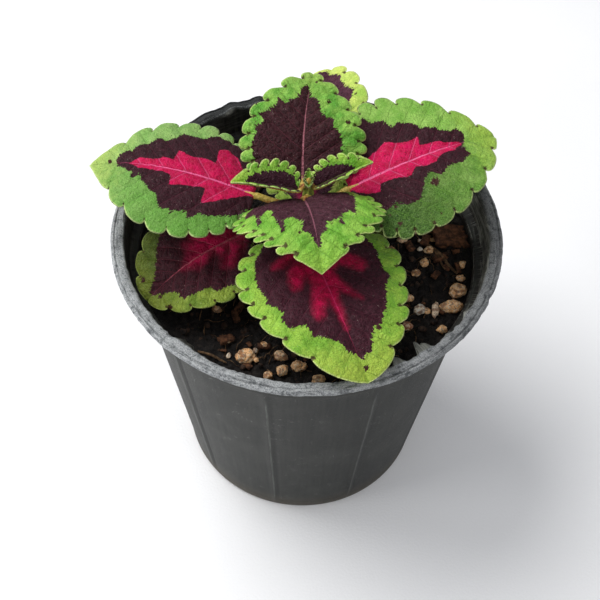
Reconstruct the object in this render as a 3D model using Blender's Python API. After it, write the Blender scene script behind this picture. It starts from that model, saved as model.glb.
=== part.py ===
# A potted coleus: a small bushy plant of paired, scalloped leaves in a black plastic nursery pot.
# The origin is at the middle of the pot's base, +Z is up and the leaf that hangs over the rim points to -Y.
# All sizes are in metres and all angles in degrees unless a name says otherwise.

import math
import random

import bpy
import bmesh
from mathutils import Matrix, Vector, noise

# Driving dimensions of the pot
POT_HEIGHT = 0.125
RIM_RADIUS = 0.070
LIP_WIDTH = 0.0042
LIP_DROP = 0.0026
COLLAR_HEIGHT = 0.0110
COLLAR_RADIUS = 0.0662
COLLAR_STEP = 0.0014
WALL_TOP_RADIUS = 0.0626
BASE_RADIUS = 0.0490
WALL = 0.0014
FLOOR = 0.0018
PANELS = 10
PANEL_DEPTH = 0.0004
PANEL_LOW_END = 0.0050
PANEL_TURN = -102.0
RIDGE_RISE = 0.0004
RIDGE_HALF_WIDTH = 2.4
STEPS_PER_PANEL = 6

# Driving dimensions of the pot's underside: a flat pad, a drained channel and a notched standing ring
PAD_RADIUS = 0.0240
CHANNEL_HEIGHT = 0.0020
RING_INNER_RADIUS = 0.0450
DRAIN_HOLES = 8
DRAIN_HOLE_RADIUS = 0.0035
DRAIN_HOLE_CIRCLE = 0.0355
RING_NOTCH_WIDTH = 0.0060
RING_NOTCH_HEIGHT = 0.0012

# Driving dimensions of the soil and of what lies on it
GAP = 0.0003
SOIL_LEVEL = 0.1108
SOIL_MOUND = 0.0016
SOIL_ROUGHNESS = 0.0011
SOIL_STEPS = 40
PEBBLE_SEED = 11
CRUMB_COUNT = 34
PEBBLE_SINK = 0.42

# Driving dimensions of the stem
STEM_DEPTH = 0.024
STEM_TOP = 0.1468
STEM_HALF_SIDE_LOW = 0.0022
STEM_HALF_SIDE_TOP = 0.0013
STEM_CORNER = 0.0006
NODE_SWELLING = 0.0003
NODE_HEIGHTS = (0.1205, 0.1265, 0.1355, 0.1425)

# Driving dimensions that all leaves share
BLADE_THICKNESS = 0.0007
PETIOLE_RADIUS = 0.00115
MIDRIB_END_RADIUS = 0.00032
BLADE_COLUMNS = 3
TOOTH_GROWTH = 1.35
FRAME_STEPS = 48

# Each leaf is a flat scalloped blade that is bent round its midrib.
# stem: height of its node and the side of the square stem that it grows from.
# base: where the blade starts. heading and turn: the way the midrib points, and how far it turns on its way.
# rise and tip_rise: the slope of the midrib at the base and the tip. roll: the tilt to the left at base and tip.
# fold and droop: the slope of the blade's two halves beside the midrib and at the margin.
# fullness, taper and shoulder: the shape of the outline. teeth: scallops on each side.
LEAVES = {
    "leaf_left_lower": dict(
        stem=(0.1205, 180), base=(-0.0226, -0.0049, 0.1262), heading=216, turn=4,
        length=0.0430, half_width=0.0224, rise=6, tip_rise=-36, roll=(3, -2),
        fold=11, droop=-10, fullness=0.82, taper=0.20, shoulder=1.05, teeth=9, tooth_depth=0.0011),
    "leaf_right_lower": dict(
        stem=(0.1205, 0), base=(0.0143, 0.0048, 0.1260), heading=27, turn=-4,
        length=0.0380, half_width=0.0160, rise=7, tip_rise=-23, roll=(0, 0),
        fold=8, droop=-12, fullness=0.80, taper=0.50, shoulder=1.10, teeth=9, tooth_depth=0.0010),
    "leaf_front_lower": dict(
        stem=(0.1265, 270), base=(-0.0013, -0.0103, 0.1333), heading=-71.5, turn=4.5,
        length=0.0627, half_width=0.0285, rise=7, tip_rise=-18.5, roll=(0, -7),
        fold=12, droop=-19, fullness=0.78, taper=0.27, shoulder=1.16, teeth=9, tooth_depth=0.0013),
    "leaf_back_lower": dict(
        stem=(0.1265, 90), base=(-0.0012, 0.0093, 0.1265), heading=81, turn=0,
        length=0.0600, half_width=0.0221, rise=30, tip_rise=-7, roll=(-27, -23),
        fold=10, droop=-6, fullness=0.81, taper=0.30, shoulder=1.07, teeth=10, tooth_depth=0.0012),
    "leaf_left_upper": dict(
        stem=(0.1355, 180), base=(-0.0185, 0.0011, 0.1403), heading=171.5, turn=-2.5,
        length=0.0617, half_width=0.0275, rise=19.5, tip_rise=-25, roll=(6, -1),
        fold=0, droop=-11, fullness=0.82, taper=1.29, shoulder=1.03, teeth=11, tooth_depth=0.0013),
    "leaf_right_upper": dict(
        stem=(0.1355, 0), base=(0.0140, 0.0038, 0.1417), heading=16.5, turn=9,
        length=0.0568, half_width=0.0289, rise=22, tip_rise=-13, roll=(8, 2),
        fold=3, droop=-2, fullness=0.80, taper=0.68, shoulder=1.14, teeth=11, tooth_depth=0.0013),
    "leaf_back_upper": dict(
        stem=(0.1425, 90), base=(-0.0020, 0.0034, 0.1437), heading=93, turn=-14,
        length=0.0433, half_width=0.0215, rise=37.5, tip_rise=-1, roll=(3, 1),
        fold=5, droop=-8, fullness=0.77, taper=0.78, shoulder=1.12, teeth=11, tooth_depth=0.0012),
    "leaf_front_upper": dict(
        stem=(0.1425, 270), base=(-0.0017, -0.0044, 0.1448), heading=-78.5, turn=-2,
        length=0.0402, half_width=0.0262, rise=37, tip_rise=-39, roll=(2, -2),
        fold=12, droop=-29, fullness=0.75, taper=1.02, shoulder=1.22, teeth=9, tooth_depth=0.0016),
    "leaf_left_inner": dict(
        stem=(0.1460, 180), base=(-0.0034, -0.0022, 0.1463), heading=183, turn=-1,
        length=0.0235, half_width=0.0085, rise=18.5, tip_rise=0, roll=(1, -1),
        fold=50, droop=35, fullness=0.78, taper=0.77, shoulder=1.10, teeth=8, tooth_depth=0.0009),
    "leaf_right_inner": dict(
        stem=(0.1460, 0), base=(0.0026, -0.0010, 0.1468), heading=16, turn=2.5,
        length=0.0212, half_width=0.0072, rise=24.5, tip_rise=12, roll=(-1, 0),
        fold=50, droop=35, fullness=0.79, taper=0.74, shoulder=1.07, teeth=8, tooth_depth=0.0009),
}

# The growing tip: two pairs of tiny cupped leaves round a bud. petiole: radius of their stalks.
BUD_RADIUS = 0.0012
BUD_HEIGHT = 0.0042
BUD_LEAVES = (
    dict(heading=90, length=0.0072, half_width=0.0022, lean=66),
    dict(heading=270, length=0.0066, half_width=0.0021, lean=62),
    dict(heading=10, length=0.0050, half_width=0.0016, lean=78),
    dict(heading=190, length=0.0050, half_width=0.0016, lean=78),
)

# Stones that show in front of and beside the plant: x, y, length, width, height and turn on the soil.
PEBBLES = (
    (-0.020, -0.048, 0.0072, 0.0052, 0.0046, 10), (-0.012, -0.055, 0.0034, 0.0030, 0.0030, 40),
    (-0.008, -0.047, 0.0048, 0.0038, 0.0034, -20), (-0.007, -0.053, 0.0042, 0.0036, 0.0036, 70),
    (-0.002, -0.051, 0.0046, 0.0038, 0.0036, 30), (0.005, -0.056, 0.0050, 0.0032, 0.0028, 0),
    (-0.014, -0.043, 0.0030, 0.0024, 0.0024, 0), (0.045, 0.001, 0.0034, 0.0028, 0.0028, 15),
    (0.043, -0.005, 0.0036, 0.0032, 0.0030, 50), (0.040, -0.010, 0.0032, 0.0026, 0.0026, 0),
    (0.057, -0.005, 0.0032, 0.0028, 0.0028, 80), (0.056, -0.011, 0.0034, 0.0026, 0.0028, 20),
    (0.0545, -0.017, 0.0064, 0.0054, 0.0048, 60), (0.052, -0.024, 0.0082, 0.0048, 0.0044, 5),
    (0.046, -0.026, 0.0064, 0.0026, 0.0028, 80), (0.0405, -0.026, 0.0044, 0.0040, 0.0038, 0),
    (0.037, -0.021, 0.0032, 0.0028, 0.0030, 45), (0.048, -0.034, 0.0036, 0.0030, 0.0028, 10),
    (0.036, -0.033, 0.0038, 0.0032, 0.0034, 25),
)
CHIP = dict(place=(0.052, 0.009), size=(0.0130, 0.0090, 0.0036), turn=12, tilt=14)
TWIGS = (
    dict(start=(0.046, 0.003), end=(0.055, -0.009), radius=0.0006),
    dict(start=(-0.036, -0.046), end=(-0.026, -0.050), radius=0.0005),
    dict(start=(0.020, 0.048), end=(0.032, 0.040), radius=0.0006),
)

COLORS = {
    "pot": ((0.085, 0.092, 0.088), 0.55),
    "soil": ((0.020, 0.012, 0.008), 0.95),
    "stem": ((0.30, 0.36, 0.10), 0.55),
    "leaf": ((0.20, 0.42, 0.06), 0.60),
    "young_leaf": ((0.26, 0.46, 0.07), 0.60),
}


def clear_scene():
    for thing in list(bpy.data.objects):
        bpy.data.objects.remove(thing, do_unlink=True)


def material(name):
    found = bpy.data.materials.get(name)
    if found:
        return found
    color, roughness = COLORS[name]
    made = bpy.data.materials.new(name)
    made.use_nodes = True
    shader = made.node_tree.nodes["Principled BSDF"]
    shader.inputs["Base Color"].default_value = (*color, 1.0)
    shader.inputs["Roughness"].default_value = roughness
    shader.inputs["Metallic"].default_value = 0.0
    made.diffuse_color = (*color, 1.0)
    return made


def add_object(name, bm, finish=None, smooth=True):
    mesh = bpy.data.meshes.new(name)
    bm.to_mesh(mesh)
    bm.free()
    thing = bpy.data.objects.new(name, mesh)
    bpy.context.scene.collection.objects.link(thing)
    if finish:
        mesh.materials.append(material(finish))
    if smooth:
        mesh.shade_smooth()
        mesh.set_sharp_from_angle(angle=math.radians(40))
    return thing


def helper(name, bm):
    thing = add_object(name, bm, smooth=False)
    thing.hide_render = True
    thing.display_type = "WIRE"
    return thing


def boolean(thing, operation, other, solver="EXACT"):
    cut = thing.modifiers.new(operation.title(), "BOOLEAN")
    cut.operation = operation
    cut.solver = solver
    cut.object = other
    return cut


def join_all(thing, others):
    """Unites the other objects with this one in one step, then removes them."""
    group = bpy.data.collections.new(thing.name + "_joined")
    for other in others:
        group.objects.link(other)
    cut = thing.modifiers.new("Union", "BOOLEAN")
    cut.operation = "UNION"
    cut.solver = "EXACT"
    cut.operand_type = "COLLECTION"
    cut.collection = group
    bpy.context.view_layer.update()
    graph = bpy.context.evaluated_depsgraph_get()
    finished = bpy.data.meshes.new_from_object(thing.evaluated_get(graph))
    thing.modifiers.clear()
    thing.data = finished
    for other in others:
        bpy.data.objects.remove(other, do_unlink=True)
    bpy.data.collections.remove(group)


def turned(profile, steps):
    """A closed shell turned round the Z axis from a profile of (radius, height) points."""
    bm = bmesh.new()
    points = [bm.verts.new((radius, 0.0, height)) for radius, height in profile]
    edges = [bm.edges.new(pair) for pair in zip(points, points[1:])]
    bmesh.ops.spin(
        bm, geom=points + edges, cent=(0, 0, 0), axis=(0, 0, 1),
        angle=math.tau, steps=steps, use_merge=True, use_duplicate=False)
    bmesh.ops.remove_doubles(bm, verts=bm.verts, dist=1e-6)
    bmesh.ops.recalc_face_normals(bm, faces=bm.faces)
    return bm


def swept(path, radii, sides):
    """A tube of flat-sided rings along a path, with both ends closed."""
    bm = bmesh.new()
    rings = []
    across = None
    for index, point in enumerate(path):
        before = path[max(index - 1, 0)]
        after = path[min(index + 1, len(path) - 1)]
        along = (after - before).normalized()
        if across is None:
            across = along.cross(Vector((0, 0, 1))).normalized()
        across = (across - along * across.dot(along)).normalized()
        over = along.cross(across)
        ring = []
        for side in range(sides):
            angle = math.tau * (side + 0.5) / sides
            offset = across * math.cos(angle) + over * math.sin(angle)
            ring.append(bm.verts.new(point + offset * radii[index]))
        rings.append(ring)
    for low, high in zip(rings, rings[1:]):
        for side in range(sides):
            after = (side + 1) % sides
            bm.faces.new((low[side], low[after], high[after], high[side]))
    bm.faces.new(rings[0])
    bm.faces.new(rings[-1])
    bmesh.ops.recalc_face_normals(bm, faces=bm.faces)
    return bm


def wall_radius(height):
    """Outer radius of the tapered wall below the collar."""
    top = POT_HEIGHT - COLLAR_HEIGHT - COLLAR_STEP
    share = min(max(height / top, 0.0), 1.0)
    return BASE_RADIUS + (WALL_TOP_RADIUS - BASE_RADIUS) * share


def pot_profile():
    step_high = POT_HEIGHT - COLLAR_HEIGHT
    step_low = step_high - COLLAR_STEP
    lip_inner = RIM_RADIUS - LIP_WIDTH
    collar_inner = COLLAR_RADIUS - WALL
    floor_top = CHANNEL_HEIGHT + FLOOR
    inner_low = wall_radius(floor_top) - WALL
    inner_high = WALL_TOP_RADIUS - WALL
    outside = [
        (0.0, 0.0), (PAD_RADIUS, 0.0), (PAD_RADIUS + 0.002, CHANNEL_HEIGHT),
        (RING_INNER_RADIUS - 0.0012, CHANNEL_HEIGHT), (RING_INNER_RADIUS, 0.0),
        (BASE_RADIUS - 0.0008, 0.0), (wall_radius(0.0012), 0.0012), (wall_radius(0.0060), 0.0060),
        (wall_radius(0.0400), 0.0400), (wall_radius(0.0760), 0.0760),
        (wall_radius(step_low - 0.004), step_low - 0.004), (WALL_TOP_RADIUS, step_low),
        (COLLAR_RADIUS - 0.0005, step_high), (COLLAR_RADIUS, POT_HEIGHT - LIP_DROP - 0.0002),
        (RIM_RADIUS - 0.0010, POT_HEIGHT - LIP_DROP - 0.0002), (RIM_RADIUS, POT_HEIGHT - LIP_DROP + 0.0006),
        (RIM_RADIUS, POT_HEIGHT - 0.0006), (RIM_RADIUS - 0.0006, POT_HEIGHT),
    ]
    inside = [
        (lip_inner + 0.0004, POT_HEIGHT), (lip_inner - 0.0004, POT_HEIGHT - 0.0008),
        (collar_inner - 0.0003, step_high), (inner_high, step_low), (inner_low, floor_top),
        (PAD_RADIUS + 0.0024, floor_top), (PAD_RADIUS - 0.0004, FLOOR), (0.0, FLOOR),
    ]
    return outside + inside


def panelled(angle, radius):
    """Where a point of the wall goes once its panels are pressed in between narrow upright ridges."""
    width = 360.0 / PANELS
    offset = (angle - PANEL_TURN + width / 2) % width - width / 2
    ridge = angle - offset
    if abs(offset) < 0.01:
        return ridge, radius + RIDGE_RISE
    if abs(offset) < width / STEPS_PER_PANEL + 0.01:
        offset = math.copysign(RIDGE_HALF_WIDTH, offset)
    return ridge + offset, radius - PANEL_DEPTH


def drainage():
    """The holes through the channel and the notches through the standing ring, as one cutter."""
    bm = bmesh.new()
    for index in range(DRAIN_HOLES):
        turn = Matrix.Rotation(math.tau * (index + 0.5) / DRAIN_HOLES, 4, "Z")
        middle = Matrix.Translation((DRAIN_HOLE_CIRCLE, 0, CHANNEL_HEIGHT + FLOOR / 2))
        bmesh.ops.create_cone(
            bm, cap_ends=True, segments=12, radius1=DRAIN_HOLE_RADIUS, radius2=DRAIN_HOLE_RADIUS,
            depth=4 * FLOOR, matrix=turn @ middle)
        size = Matrix.Diagonal((0.012, RING_NOTCH_WIDTH, 2 * RING_NOTCH_HEIGHT, 1))
        place = Matrix.Translation(((RING_INNER_RADIUS + BASE_RADIUS) / 2, 0, 0))
        half = Matrix.Rotation(math.pi / DRAIN_HOLES, 4, "Z")
        bmesh.ops.create_cube(bm, size=1.0, matrix=turn @ half @ place @ size)
    return helper("drainage_cutter", bm)


def make_pot():
    bm = turned(pot_profile(), PANELS * STEPS_PER_PANEL)
    panel_top = POT_HEIGHT - COLLAR_HEIGHT - 2 * COLLAR_STEP
    for vert in bm.verts:
        radius = math.hypot(vert.co.x, vert.co.y)
        outer = radius > wall_radius(vert.co.z) - WALL / 2
        if outer and PANEL_LOW_END < vert.co.z < panel_top:
            angle = math.degrees(math.atan2(vert.co.y, vert.co.x))
            angle, radius = panelled(angle, radius)
            vert.co.x = radius * math.cos(math.radians(angle))
            vert.co.y = radius * math.sin(math.radians(angle))
    pot = add_object("pot", bm, "pot")
    boolean(pot, "DIFFERENCE", drainage())
    return pot


def soil_height(x, y):
    """The rough top of the soil, a little higher in the middle."""
    radius = math.hypot(x, y) / WALL_TOP_RADIUS
    bumps = noise.noise(Vector((x, y, 0.013)) * 55.0) + 0.4 * noise.noise(Vector((x, y, 0.071)) * 120.0)
    fade = 1.0 - radius ** 8
    return SOIL_LEVEL + SOIL_MOUND * (1.0 - radius ** 2) + SOIL_ROUGHNESS * bumps * fade


def pebble(x, y, size, turn, seed):
    """A worn stone with flat facets, sunk into the soil."""
    rule = random.Random(seed)
    bm = bmesh.new()
    bmesh.ops.create_icosphere(bm, subdivisions=1, radius=0.5)
    for vert in bm.verts:
        vert.co *= rule.uniform(0.88, 1.12)
    place = Matrix.Translation((x, y, soil_height(x, y) + size[2] * (0.5 - PEBBLE_SINK)))
    spin = Matrix.Rotation(math.radians(turn), 4, "Z")
    bmesh.ops.transform(bm, matrix=place @ spin @ Matrix.Diagonal((*size, 1)), verts=bm.verts)
    return add_object("pebble", bm, smooth=False)


def twig(start, end, radius):
    path = []
    for step in range(4):
        share = step / 3
        x = start[0] + (end[0] - start[0]) * share
        y = start[1] + (end[1] - start[1]) * share
        path.append(Vector((x, y, soil_height(x, y) + radius * 0.4)))
    return add_object("twig", swept(path, [radius] * 4, 4), smooth=False)


def chip():
    """The flat piece of bark that leans on the soil by the wall."""
    bm = bmesh.new()
    bmesh.ops.create_icosphere(bm, subdivisions=1, radius=0.5)
    x, y = CHIP["place"]
    place = Matrix.Translation((x, y, soil_height(x, y) + 0.0006))
    spin = Matrix.Rotation(math.radians(CHIP["turn"]), 4, "Z")
    lean = Matrix.Rotation(math.radians(CHIP["tilt"]), 4, "Y")
    bmesh.ops.transform(bm, matrix=place @ spin @ lean @ Matrix.Diagonal((*CHIP["size"], 1)), verts=bm.verts)
    return add_object("chip", bm, smooth=False)


def crumbs():
    """Small stones and lumps scattered by a seeded rule, clear of the stem and of the wall."""
    rule = random.Random(PEBBLE_SEED)
    made = []
    for index in range(CRUMB_COUNT):
        radius = math.sqrt(rule.uniform(0.012 ** 2, 0.055 ** 2))
        angle = rule.uniform(0, math.tau)
        across = rule.uniform(0.0026, 0.0050)
        size = (across, across * rule.uniform(0.7, 1.0), across * rule.uniform(0.6, 0.9))
        x, y = radius * math.cos(angle), radius * math.sin(angle)
        made.append(pebble(x, y, size, rule.uniform(0, 180), 200 + index))
    return made


def make_soil():
    floor = CHANNEL_HEIGHT + FLOOR + GAP
    low = wall_radius(floor) - WALL - GAP
    edge = wall_radius(SOIL_LEVEL) - WALL - GAP
    profile = [(0.0, FLOOR + GAP), (PAD_RADIUS - 0.001, FLOOR + GAP), (PAD_RADIUS + 0.0026, floor), (low, floor)]
    profile += [(edge, SOIL_LEVEL)]
    profile += [(edge * share, SOIL_LEVEL) for share in (0.93, 0.82, 0.69, 0.55, 0.40, 0.24, 0.10)]
    profile += [(0.0, SOIL_LEVEL)]
    bm = turned(profile, SOIL_STEPS)
    for vert in bm.verts:
        if vert.co.z > SOIL_LEVEL - 1e-4 and math.hypot(vert.co.x, vert.co.y) < edge - 1e-4:
            vert.co.z = soil_height(vert.co.x, vert.co.y)
    soil = add_object("soil", bm, "soil", smooth=False)
    stones = [
        pebble(x, y, (length, width, height), turn, index)
        for index, (x, y, length, width, height, turn) in enumerate(PEBBLES)]
    join_all(soil, stones + crumbs() + [chip()] + [twig(**each) for each in TWIGS])
    hole = bmesh.new()
    side = 2 * (STEM_HALF_SIDE_LOW + GAP)
    size = Matrix.Diagonal((side, side, STEM_DEPTH * 2, 1))
    bmesh.ops.create_cube(hole, size=1.0, matrix=Matrix.Translation((0, 0, SOIL_LEVEL)) @ size)
    boolean(soil, "DIFFERENCE", helper("stem_hole_cutter", hole))
    return soil


def stem_half_side(height):
    share = min(max((height - SOIL_LEVEL) / (STEM_TOP - SOIL_LEVEL), 0.0), 1.0)
    return STEM_HALF_SIDE_LOW + (STEM_HALF_SIDE_TOP - STEM_HALF_SIDE_LOW) * share


def make_stem():
    """The square stem, pushed up level by level, a little thicker at each pair of leaves."""
    levels = [(SOIL_LEVEL - STEM_DEPTH + GAP, 0.0), (SOIL_LEVEL + 0.004, 0.0)]
    for height in NODE_HEIGHTS:
        levels += [(height - 0.0022, 0.0), (height, NODE_SWELLING), (height + 0.0022, 0.0)]
    levels += [(STEM_TOP, 0.0)]
    bm = bmesh.new()
    rings = []
    for height, swelling in levels:
        half = stem_half_side(height)
        # The swelling is on the corners, so that the flats stay clear of the leaf stalks.
        corner = STEM_CORNER - swelling
        outline = [
            (half, half - corner), (half - corner, half), (corner - half, half), (-half, half - corner),
            (-half, corner - half), (corner - half, -half), (half - corner, -half), (half, corner - half)]
        rings.append([bm.verts.new((x, y, height)) for x, y in outline])
    for low, high in zip(rings, rings[1:]):
        for index in range(8):
            after = (index + 1) % 8
            bm.faces.new((low[index], low[after], high[after], high[index]))
    bm.faces.new(rings[0])
    bm.faces.new(rings[-1])
    bmesh.ops.recalc_face_normals(bm, faces=bm.faces)
    return add_object("stem", bm, "stem")


def leaf_frames(leaf):
    """The bent midrib as equal steps, each with its point, sideways direction and upward direction."""
    frames = []
    point = Vector(leaf["base"])
    step = leaf["length"] / FRAME_STEPS
    for index in range(FRAME_STEPS + 1):
        share = index / FRAME_STEPS
        pitch = math.radians(leaf["rise"] + (leaf["tip_rise"] - leaf["rise"]) * share ** 1.5)
        yaw = math.radians(leaf["heading"] + leaf["turn"] * share)
        roll = math.radians(leaf["roll"][0] + (leaf["roll"][1] - leaf["roll"][0]) * share)
        along = Vector((math.cos(pitch) * math.cos(yaw), math.cos(pitch) * math.sin(yaw), math.sin(pitch)))
        if index:
            point = point + (along + before).normalized() * step
        before = along
        level = Vector((-math.sin(yaw), math.cos(yaw), 0.0))
        over = along.cross(level)
        side = level * math.cos(roll) + over * math.sin(roll)
        up = over * math.cos(roll) - level * math.sin(roll)
        frames.append((point, side, up))
    return frames


def bent(leaf, frames, x, y):
    """Where the point (x, y) of the flat blade lies once the blade is bent."""
    share = min(max(y / leaf["length"], 0.0), 1.0) * FRAME_STEPS
    low = min(int(share), FRAME_STEPS - 1)
    point, side, up = (a.lerp(b, share - low) for a, b in zip(frames[low], frames[low + 1]))
    fold, droop = math.radians(leaf["fold"]), math.radians(leaf["droop"])
    curl = (droop - fold) / leaf["half_width"]
    end = fold + curl * abs(x)
    if abs(curl) < 1e-6:
        out, rise = abs(x) * math.cos(fold), abs(x) * math.sin(fold)
    else:
        out = (math.sin(end) - math.sin(fold)) / curl
        rise = (math.cos(fold) - math.cos(end)) / curl
    return point + side * math.copysign(out, x) + up * rise


def outline(leaf, p):
    """Half width and distance along the midrib of the leaf's smooth outline, at 0 to 1 from base to tip."""
    y = leaf["length"] * ((1 - math.cos(math.pi * p)) / 2) ** leaf["shoulder"]
    x = leaf["half_width"] * max(math.sin(math.pi * p ** leaf["fullness"]), 0.0) ** (1 + leaf["taper"] * p)
    return Vector((x, y))


def scalloped(leaf, tooth, share):
    """A point of the scalloped outline: 0 and 1 are the notches on either side of the tooth."""
    p = 1 - (1 - (tooth + share) / leaf["teeth"]) ** (1 / TOOTH_GROWTH)
    if p <= 0 or p >= 1:
        return outline(leaf, p)
    along = outline(leaf, min(p + 0.004, 1.0)) - outline(leaf, max(p - 0.004, 0.0))
    outward = Vector((along.y, -along.x)).normalized()
    bump = math.sin(math.pi * share) ** 0.6 - 0.5
    fade = min(1.0, 6 * p, 5 * (1 - p))
    return outline(leaf, p) + outward * leaf["tooth_depth"] * bump * fade


def blade(leaf):
    """The bent blade as one thin sheet: rows of faces out to the notches, then a fan for each tooth."""
    frames = leaf_frames(leaf)
    bm = bmesh.new()

    def vert(x, y):
        return bm.verts.new(bent(leaf, frames, x, y))

    teeth = leaf["teeth"]
    midrib = [vert(0.0, leaf["length"] * (tooth / teeth) ** 1.15) for tooth in range(teeth + 1)]
    for side in (1, -1):
        rows = []
        for tooth in range(teeth + 1):
            start = Vector((0.0, leaf["length"] * (tooth / teeth) ** 1.15))
            notch = scalloped(leaf, tooth, 0.0)
            row = [midrib[tooth]]
            if 0 < tooth < teeth:
                for column in range(1, BLADE_COLUMNS + 1):
                    place = start.lerp(notch, column / BLADE_COLUMNS)
                    row.append(vert(side * place.x, place.y))
            rows.append(row)
        for tooth, (low, high) in enumerate(zip(rows, rows[1:])):
            for column in range(BLADE_COLUMNS):
                corners = []
                for corner in (low[min(column, len(low) - 1)], low[min(column + 1, len(low) - 1)],
                               high[min(column + 1, len(high) - 1)], high[min(column, len(high) - 1)]):
                    if corner not in corners:
                        corners.append(corner)
                if len(corners) > 2:
                    bm.faces.new(corners if side > 0 else corners[::-1])
            arc = [scalloped(leaf, tooth, share) for share in (0.2, 0.5, 0.8)]
            edge = [low[-1]] + [vert(side * place.x, place.y) for place in arc] + [high[-1]]
            bm.faces.new(edge if side > 0 else edge[::-1])
    bmesh.ops.recalc_face_normals(bm, faces=bm.faces)
    # Both faces of the thin blade get the same triangles, because it is divided before it is thickened.
    bmesh.ops.triangulate(bm, faces=bm.faces)
    return bm, frames


def petiole(leaf, frames):
    """The stalk from the stem to the blade, which goes on under the blade as its midrib."""
    height, facing = leaf["stem"]
    out = Vector((math.cos(math.radians(facing)), math.sin(math.radians(facing)), 0.0))
    start = Vector((0, 0, height)) + out * (stem_half_side(height) + GAP)
    end = frames[0][0]
    forward = (frames[1][0] - frames[0][0]).normalized()
    reach = (end - start).length
    root = PETIOLE_RADIUS * (0.72 if height > 0.145 else 1.0)
    path, radii = [], []
    for step in range(6):
        t = step / 6
        a, b = 2 * t ** 3 - 3 * t ** 2 + 1, t ** 3 - 2 * t ** 2 + t
        c, d = 3 * t ** 2 - 2 * t ** 3, t ** 3 - t ** 2
        path.append(start * a + out * reach * b + (end - frames[0][2] * root * 0.5) * c + forward * reach * d)
        radii.append(root)
    for index in range(0, int(FRAME_STEPS * 0.86), 5):
        share = index / (FRAME_STEPS * 0.86)
        radius = root * (1 - share) + MIDRIB_END_RADIUS * share
        point, _, up = frames[index]
        path.append(point - up * radius * 0.55 * (1 - share))
        radii.append(radius)
    return swept(path, radii, 6)


def make_leaf(name, leaf):
    bm, frames = blade(leaf)
    made = add_object(name, bm, "young_leaf" if "inner" in name else "leaf")
    thicken = made.modifiers.new("Blade", "SOLIDIFY")
    thicken.thickness = BLADE_THICKNESS
    thicken.offset = 0.0
    thicken.use_even_offset = True
    # The stalk lies nearly flush in the blade, which the exact solver can't settle on every leaf.
    boolean(made, "UNION", helper(name + "_stalk", petiole(leaf, frames)), "MANIFOLD")
    return made


def make_growing_tip():
    """The bud on top of the stem with its tiny cupped leaves, grown together."""
    start = STEM_TOP + GAP
    path = [Vector((0, 0, start + BUD_HEIGHT * share)) for share in (0.0, 0.3, 0.65, 1.0)]
    radii = [BUD_RADIUS * share for share in (0.9, 1.0, 0.75, 0.25)]
    bud = add_object("growing_tip", swept(path, radii, 8), "young_leaf")
    others = []
    for leaf in BUD_LEAVES:
        bm = bmesh.new()
        bmesh.ops.create_icosphere(bm, subdivisions=2, radius=0.5)
        for vert in bm.verts:
            along = vert.co.x + 0.5
            vert.co.y *= 1.2 * math.sin(math.pi * (along * 0.80 + 0.12)) ** 0.6
            vert.co.z += 0.9 * vert.co.y ** 2
        size = Matrix.Diagonal((leaf["length"], 2 * leaf["half_width"], 0.0011, 1))
        lean = Matrix.Rotation(-math.radians(leaf["lean"]), 4, "Y")
        turn = Matrix.Rotation(math.radians(leaf["heading"]), 4, "Z")
        place = Matrix.Translation((0, 0, start + 0.0012)) @ turn @ lean
        shift = Matrix.Translation((leaf["length"] * 0.42, 0, 0))
        bmesh.ops.transform(bm, matrix=place @ shift @ size, verts=bm.verts)
        others.append(add_object("bud_leaf", bm, smooth=False))
    join_all(bud, others)
    return bud


def main():
    clear_scene()
    make_pot()
    make_soil()
    make_stem()
    for name, leaf in LEAVES.items():
        make_leaf(name, leaf)
    make_growing_tip()


main()
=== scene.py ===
import math
import random

import bmesh
import bpy
import numpy as np
from mathutils import Matrix, Vector, noise


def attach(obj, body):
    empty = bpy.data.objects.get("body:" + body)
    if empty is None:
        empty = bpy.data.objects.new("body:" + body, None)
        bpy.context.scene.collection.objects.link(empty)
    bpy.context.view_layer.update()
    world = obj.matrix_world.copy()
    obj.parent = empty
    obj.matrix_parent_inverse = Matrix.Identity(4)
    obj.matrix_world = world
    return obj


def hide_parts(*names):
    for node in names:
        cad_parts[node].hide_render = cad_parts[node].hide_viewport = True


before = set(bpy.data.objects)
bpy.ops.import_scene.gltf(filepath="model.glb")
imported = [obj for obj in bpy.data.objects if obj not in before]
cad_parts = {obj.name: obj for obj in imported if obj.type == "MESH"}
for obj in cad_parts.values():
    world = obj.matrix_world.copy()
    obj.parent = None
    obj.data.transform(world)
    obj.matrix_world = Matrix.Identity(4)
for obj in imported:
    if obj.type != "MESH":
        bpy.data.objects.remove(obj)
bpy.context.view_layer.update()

mm = 0.001


def screen(*color):  # a colour as a screen shows it, 0 to 255, in the values that shaders use
    linear = [c / 3294.6 if c < 10.3 else ((c / 255 + 0.055) / 1.055) ** 2.4 for c in color]
    return (*linear, 1.0)


def smooth(low, high, value):
    share = min(max((value - low) / (high - low), 0.0), 1.0)
    return share * share * (3 - 2 * share)


def newPiece(name, bm, materials, replaces=()):
    mesh = bpy.data.meshes.new(name)
    bm.to_mesh(mesh)
    bm.free()
    for each in materials:
        mesh.materials.append(each)
    mesh.shade_smooth()
    piece = bpy.data.objects.new(name, mesh)
    bpy.context.scene.collection.objects.link(piece)
    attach(piece, "root")
    if replaces:
        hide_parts(*replaces)
    return piece


class Value:  # what a shader node gives: plus, minus, times and divided by make math nodes
    def __init__(self, nodes, socket):
        self.nodes, self.socket = nodes, socket

    def __add__(self, other):
        return self.nodes.math("ADD", self, other)

    def __sub__(self, other):
        return self.nodes.math("SUBTRACT", self, other)

    def __rsub__(self, other):
        return self.nodes.math("SUBTRACT", other, self)

    def __mul__(self, other):
        return self.nodes.math("MULTIPLY", self, other)

    def __truediv__(self, other):
        return self.nodes.math("DIVIDE", self, other)


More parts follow.
